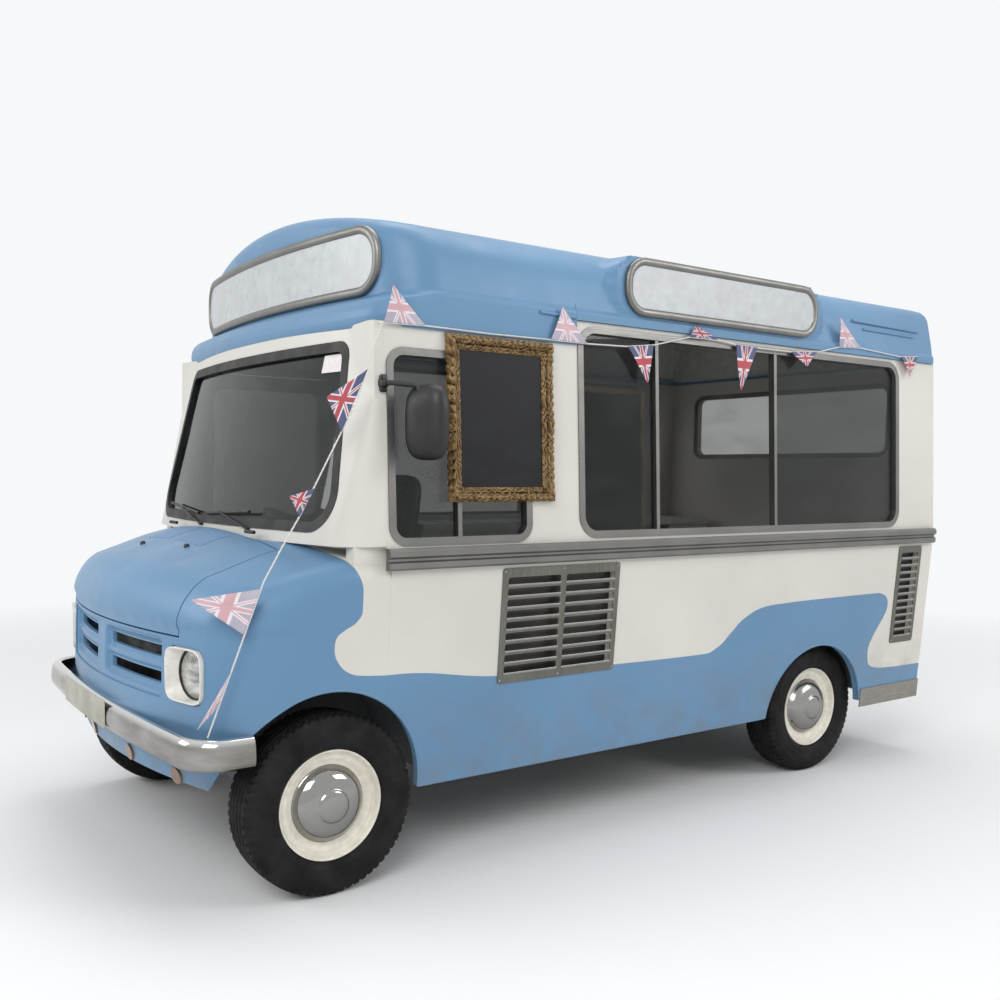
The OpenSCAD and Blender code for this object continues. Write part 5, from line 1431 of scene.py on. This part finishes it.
def pebble(centre, half_u, half_v, depth, angle, side):
    """A mirror head: superellipse rings that shrink towards a swollen back and close on a flat glass."""
    t = np.linspace(0, 2 * np.pi, 64, endpoint=False)
    ring = np.column_stack([eased(np.cos(t), 0.62) * half_u, eased(np.sin(t), 0.55) * half_v])
    stages = [(0.0, -0.030), (0.93, -0.030), (0.97, -0.034), (1.0, -0.030)]
    stages += [(np.cos(s) ** 0.6, -0.02 + depth * np.sin(s)) for s in np.linspace(0, np.pi / 2, 14)]
    rings = [np.column_stack([np.full(len(ring), w), ring * size]) for size, w in stages]
    out, along, up = np.moveaxis(np.array(rings), -1, 0)
    x = centre[0] + (out * math.cos(angle) - along * math.sin(angle))
    y = centre[1] + (out * math.sin(angle) + along * math.cos(angle))
    return grid(on_van(np.stack([x, side * y, centre[2] + up], axis=-1)), wrap_v=True)


def tube(points, radius, side):
    """A round bar through a few points, with its corners eased by averaging neighbours."""
    points = np.asarray(points, float) * [1, side, 1]
    steps = np.linspace(0, len(points) - 1, 48)
    path = np.column_stack([np.interp(steps, np.arange(len(points)), points[:, k]) for k in range(3)])
    path[1:-1] = (path[:-2] + path[1:-1] + path[2:]) / 3
    run = unit(np.gradient(path, axis=0))
    guide = unit(np.cross(run, [0.3, 0.2, 0.93]))
    return swept(on_van(path), guide, np.cross(run, guide), ring_points(radius, 14))


for word, (body, side, head_x, foot_x) in MIRRORS.items():
    clamp_outline = round_rect(foot_x - 0.013, foot_x + 0.013, CLAMP_Z - 0.030, CLAMP_Z + 0.030, 0.008)
    bends = [(foot_x, CLAMP_Y, CLAMP_Z), (foot_x - 0.012, 1.00, CLAMP_Z), (head_x + 0.012, 1.062, 1.762),
             (head_x + 0.008, 1.080, 1.735), (head_x, 1.083, 1.66)]
    mirror = [
        slab(clamp_outline, 0.9555, 0.9690, 0.002, on_side(side, 0.0)),
        pebble((foot_x, 0.975, CLAMP_Z), 0.016, 0.016, 0.03, math.pi / 2, side),
        tube(bends, ARM_R, side),
        pebble((head_x, 1.085, 1.640), 0.089, 0.128, 0.050, math.radians(14), side),
    ]
    make("mirror_set_" + word, body, FINISHES["black"], mirror, replaces=["mirror_" + word],
         slot="black_plastic", sharp=50)

# %% [markdown]
# ## Driver's seat
# The seat has a stitched vinyl cushion and backrest over foam on a steel box. Foam fills a cover until it
# bulges between its edges, so each pad is a rounded box whose faces swell, with shallow stitched channels.

# %% Seat
SEAT_Y = -0.45
CHANNELS = 5


def pad(half, angle, centre):
    """A stuffed box: a superellipsoid with grooves across its upper face, tilted and moved to its place."""
    lat = np.linspace(-np.pi / 2, np.pi / 2, 48)[None, :]
    lon = np.linspace(0, 2 * np.pi, 96, endpoint=False)[:, None]
    x = eased(np.cos(lat), 0.35) * eased(np.cos(lon), 0.35) * half[0]
    y = eased(np.cos(lat), 0.35) * eased(np.sin(lon), 0.35) * half[1]
    z = eased(np.sin(lat), 0.55) * half[2] + 0 * lon
    groove = 0.006 * hump(((y / half[1] + 1) * CHANNELS / 2) % 1, 0.5, 0.09)
    z = z - np.where(z > 0.3 * half[2], groove, 0)
    ahead = x * math.cos(angle) + z * math.sin(angle)
    up = z * math.cos(angle) - x * math.sin(angle)
    return grid(on_van(np.stack([ahead, y, up], axis=-1) + centre), wrap_u=True)


cushion_pad = pad((0.230, 0.236, 0.046), 0.0, (-0.777, SEAT_Y, 0.884))
back_pad = pad((0.278, 0.228, 0.046), math.radians(80), (-1.001, SEAT_Y, 1.184))
vinyl = FINISHES["vinyl"]
cushion = make("seat_cushion", "body", vinyl, [cushion_pad], replaces=["seats"], slot="vinyl", sharp=180)
backrest = make("seat_back", "body", vinyl, [back_pad], slot="vinyl", sharp=180)
box_plan = round_rect(-0.995, -0.565, SEAT_Y - 0.225, SEAT_Y + 0.225, 0.02)
seat_box = slab(box_plan, 0.5605, 0.842, 0.004, lambda u, v, w: (u + AXLE_X, v, w))
make("seat_box", "body", FINISHES["chassis"], [seat_box], slot="steel_black")

# %% [markdown]
# ## Sides
# Each side of the body is one sheet that leans in above and below the waist. A coachbuilder cuts the
# windows, the wheel arches and the door out of it, and so does this cell: a thick bent plate, and one
# cutter for each opening. Near the peak its top is a ledge below the roof's rounded corner.

# %% Side panels
SHEET, WINDOW_LAP, VENT_LAP = 0.040, 0.012, 0.020
SHEET_REAR, SHEET_FRONT = -3.488, -0.1762
SHEET_FOOT, SHEET_TOP = 0.330, 2.065
DOORWAY = (-0.938, -0.206, 0.414, 1.951, 0.066)
# Each louvre panel: rear, front, low and high edge, then its bays and the slots in each bay.
VENTS = [(-1.258, -0.672, 0.676, 1.118, 2, 9), (-3.390, -3.190, 0.612, 1.118, 1, 12)]
# Each window: rear, front, low and high edge, and its corner radius.
WINDOWS = {
    1: [(-0.806, -0.184, 1.215, 1.903, 0.070), (-3.172, -1.040, 1.220, 2.052, 0.090)],
    -1: [(-3.172, -1.130, 1.220, 2.052, 0.090)],
}


def opening(name, side, rear, front, low, high, radius, lap=0.0):
    """A cutter through one side with round corners, smaller than the given edges by the lap."""
    outline = round_rect(rear + lap, front - lap, low + lap, high - lap, radius - lap)
    return plain(name, [slab(outline, 0.70, 1.10, 0.0, on_side(side, 0.0))])


def side_sheet(name, side):
    """A plate that follows the leaning side, as rings of four corners at its foot, waist and top."""
    height = np.array([SHEET_FOOT, WAIST_Z, SHEET_TOP])[:, None]
    x = np.array([SHEET_REAR, SHEET_FRONT, SHEET_FRONT, SHEET_REAR])
    y = side * (side_y(height) - np.array([0.0, 0.0, SHEET, SHEET]))
    rings = np.stack(np.broadcast_arrays(x, y, height), axis=-1)
    return plain(name, [grid(on_van(closed_ends(rings)), wrap_v=True)])


for side, word in ((1, "left"), (-1, "right")):
    sheet = side_sheet("side_sheet_" + word, side)
    cutters = [
        block("under_cab", -0.196, 0.1, -1.2, 1.2, 0.2, 1.208),
        block("ledge", -0.300, 0.1, -1.2, 1.2, 1.985, 2.2),
        drum("front_arch", *FRONT_ARCH, -1.2, 1.2),
        drum("rear_arch", *REAR_ARCH, -1.2, 1.2),
    ]
    cutters += [opening("window", side, *window, WINDOW_LAP) for window in WINDOWS[side]]
    if side == 1:
        cutters += [opening("vent", side, *vent[:4], 0.010 + VENT_LAP, VENT_LAP) for vent in VENTS]
    else:
        doorway = opening("doorway", side, *DOORWAY)
        cut(doorway, drum("arch_rim", *FRONT_ARCH[:2], FRONT_ARCH[2] + 0.030, -1.2, 1.2))
        cutters.append(doorway)
    cut(sheet, *cutters)
    settle(sheet, "body", PAINTS["two_tone"], replaces=["side_" + word], slot="cream_paint", sharp=30)

filler_outline = round_rect(-0.300, -0.060, 1.140, 1.2150, 0.002, 2)
fillers = [slab(filler_outline, 0.900, 0.955, 0.0, on_side(side, 0.0)) for side in SIDES]
make("cowl_fillers", "body", PAINTS["cream"], fillers, slot="cream_paint")

# %% [markdown]
# The driver's door hangs on two hinges. The body's share of each is a pin, two knuckles and their leaves;
# the knuckle between them belongs to the door.

# %% Door hinges
PIN_X, PIN_Y, PIN_R, PIN_TALL = -0.212, -0.988, 0.004, 0.090
KNUCKLE_R, KNUCKLE_TALL, KNUCKLE_RISES = 0.010, 0.0297, (0.0, 0.0603)
HINGE_FEET = (0.800, 1.500)


def post(radius, z0, z1):
    """A round upright rod on the door's hinge line."""
    path = on_van(np.array([(PIN_X, PIN_Y, z0), (PIN_X, PIN_Y, z1)]))
    return swept(path, FORWARDS, SIDEWAYS, ring_points(radius, 20))


hinge_parts = []
for foot in HINGE_FEET:
    hinge_parts.append(post(PIN_R, foot, foot + PIN_TALL))
    for rise in KNUCKLE_RISES:
        low = foot + rise
        leaf = round_rect(PIN_X + 0.003, PIN_X + 0.015, low + 0.002, low + 0.027, 0.001, 2)
        hinge_parts.append(post(KNUCKLE_R, low, low + KNUCKLE_TALL))
        hinge_parts.append(slab(leaf, side_y(foot) - 0.020, -PIN_Y, 0.0, on_side(-1, 0.0)))
make("door_hinges", "body", FINISHES["steel"], hinge_parts, slot="steel_grey")

# %% [markdown]
# ## Louvres
# Two sheet panels with rows of louvres let air out of the kitchen. Each louvre is a slot with round
# corners, and the metal below it is pressed out to a lip, which is given a lighter aluminium than the plate:
# a painted highlight. The plate is cut with one cutter for each slot. Behind it a baffle keeps the rain out;
# it is black, a painted shade for the dark inside of the slots.

# %% Louvres
END_MARGIN, SIDE_MARGIN, BAY_GAP, SLOT_RISE, SLOT_SHARE = 0.030, 0.012, 0.014, 0.008, 0.68
BAFFLE_INSET = 0.022
LIP_SECTION = [(0.0008, -0.0065), (0.0042, -0.0060), (0.0066, -0.0030), (0.0072, 0.0008), (0.0060, 0.0026),
               (0.0036, 0.0016), (0.0008, 0.0006)]
SCREW = [(0.0, 0.0062), (0.0030, 0.0056), (0.0044, 0.0040)]


def louvre_lip(u0, u1, foot):
    """The pressed lip along the foot of a slot, a little longer than the slot."""
    path = placed(np.array([(u0 - 0.002, foot, 0.0), (u1 + 0.002, foot, 0.0)]), on_wall)
    return swept(path, SIDEWAYS, UPWARDS, LIP_SECTION)


old_sheet = brushed("old_louvre_sheet", rgb(112, 111, 104), (2, 2, 0.3), (0.45, 0.7), 0.25)
lips, shade_baffles, screws = [], [], []
for number, (rear, front, low, high, bays, rows) in enumerate(VENTS):
    plate = plain(f"louvre_plate_{number}", [board(rear, front, low, high, 0.014, 0.0004, 0.0040, on_wall)])
    pitch = (high - low - 2 * END_MARGIN) / rows
    bay = (front - rear - 2 * SIDE_MARGIN) / bays
    for column in range(bays):
        u0 = rear + SIDE_MARGIN + bay * column + BAY_GAP
        u1 = u0 + bay - 2 * BAY_GAP
        for row in range(rows):
            foot = low + END_MARGIN + pitch * row + SLOT_RISE
            outline = round_rect(u0, u1, foot, foot + SLOT_SHARE * pitch, 0.008, 5)
            cut(plate, plain("slot", [slab(outline, -0.03, 0.03, 0.0, on_wall)]))
            lips.append(louvre_lip(u0, u1, foot))
    settle(plate, "body", old_sheet, replaces=["louvre_panels"], slot="aluminium", sharp=30)
    edges = np.array([rear, front, low, high]) + np.array([1, -1, 1, -1]) * BAFFLE_INSET
    shade_baffles.append(board(*edges, 0.008, -0.034, -0.030, on_wall))
    for u in np.linspace(rear + 0.010, front - 0.010, bays + 1):
        screws += [turned(SCREW, (u + AXLE_X, float(side_y(v)), v), 16) for v in (low + 0.012, high - 0.012)]
# The lips and screws take the lighter aluminium: a painted highlight.
make("louvre_lips", "body", FINISHES["aluminium_highlight"], lips + screws, slot="aluminium")
# The baffles' black is painted shade for the dark inside behind the slots.
make("louvre_shade_baffles", "body", FINISHES["chassis"], shade_baffles, slot="black_plastic")

# %% [markdown]
# ## Finishes for the frame's own solids
# Panels and fittings whose shape is right as built stay as they are, and only get a finish. The small lamps
# share one: at each rear corner the middle lamp is amber and its neighbours are red, and the front ones are
# dull orange.

# %% Node finishes
REAR_LAMP_Z, REAR_LAMP_HALF = 0.660, 0.046
lamp_glass = Finish("lamp_glass")
rear = lamp_glass.math("LESS_THAN", lamp_glass.axes[0], 0.0)
from_middle = lamp_glass.math("ABSOLUTE", lamp_glass.math("SUBTRACT", lamp_glass.axes[2], REAR_LAMP_Z))
middle = lamp_glass.math("LESS_THAN", from_middle, REAR_LAMP_HALF)
rear_tone = lamp_glass.blend(middle, rgb(150, 26, 24), rgb(196, 112, 34))
ribs = lamp_glass.add("TexWave", {"Vector": lamp_glass.place, "Scale": 60.0}, bands_direction="Z").outputs[1]
lamp_glass.look(
    Base_Color=lamp_glass.blend(rear, rgb(120, 84, 52), rear_tone), Coat_Weight=0.6,
    Roughness=lamp_glass.span(lamp_glass.noise(30, 3), 0.3, 0.7, 0.12, 0.28),
    Normal=lamp_glass.bump(ribs, 0.0008, 0.5))
NODE_FINISH = {
    PAINTS["two_tone"]: ["rear_panel", "driver_door"],
    FINISHES["aluminium"]: ["window_frames", "counter_rails"],
    FINISHES["bare_sheet"]: ["kick_plate"],
    FINISHES["chassis"]: [
        "chassis", "front_suspension", "knuckle_left", "knuckle_right", "rear_axle", "leaf_springs"],
    FINISHES["steel"]: ["propshaft", "drive_motor", "battery_boxes"],
    FINISHES["black"]: ["wipers", "dashboard", "steering_wheel"],
    FINISHES["rubber"]: ["windscreen_rubber"],
    FINISHES["white_unit"]: ["serving_counter", "back_unit"],
    FINISHES["floor_sheet"]: ["floor"],
    lamp_glass.material: ["small_lamps"],
    FINISHES["glass"]: ["fixed_glass", "door_glass"],
    FINISHES["screen_glass"]: ["windscreen"],
}
for finish, names in NODE_FINISH.items():
    for name in names:
        nodes[name].data.materials.clear()
        nodes[name].data.materials.append(finish)
print("frame nodes with a finish", sum(len(names) for names in NODE_FINISH.values()))

# %% [markdown]
# The studio floor is nearly white and dull, so that it takes soft shadows. Far from the van it fades into
# the backdrop for the rays that are seen, which hides the horizon.

# %% Floor finish
HAZE_FROM, HAZE_TO = 3.2, 8.0
floor_finish = Finish("pale_floor")
pale = floor_finish.blend(floor_finish.noise(0.6, 3), rgb(238, 238, 238), rgb(243, 243, 243))
floor_finish.look(Base_Color=pale, Roughness=0.9)
far_off = floor_finish.add("VectorMath", {0: floor_finish.place}, operation="LENGTH").outputs["Value"]
faded = floor_finish.span(far_off, HAZE_FROM, HAZE_TO)
seen_share = floor_finish.math("MULTIPLY", faded, seen_rays(floor_finish.tree))
haze = floor_finish.add("Emission", {"Color": BACKDROP}).outputs[0]
floor_mix = floor_finish.add("MixShader", {0: seen_share, 1: floor_finish.shader.outputs[0], 2: haze})
floor_finish.tree.links.new(floor_mix.outputs[0], floor_finish.tree.nodes["Material Output"].inputs[0])
floor_piece.data.materials.append(floor_finish.material)
print("floor fades out from", HAZE_FROM, "to", HAZE_TO, "m")
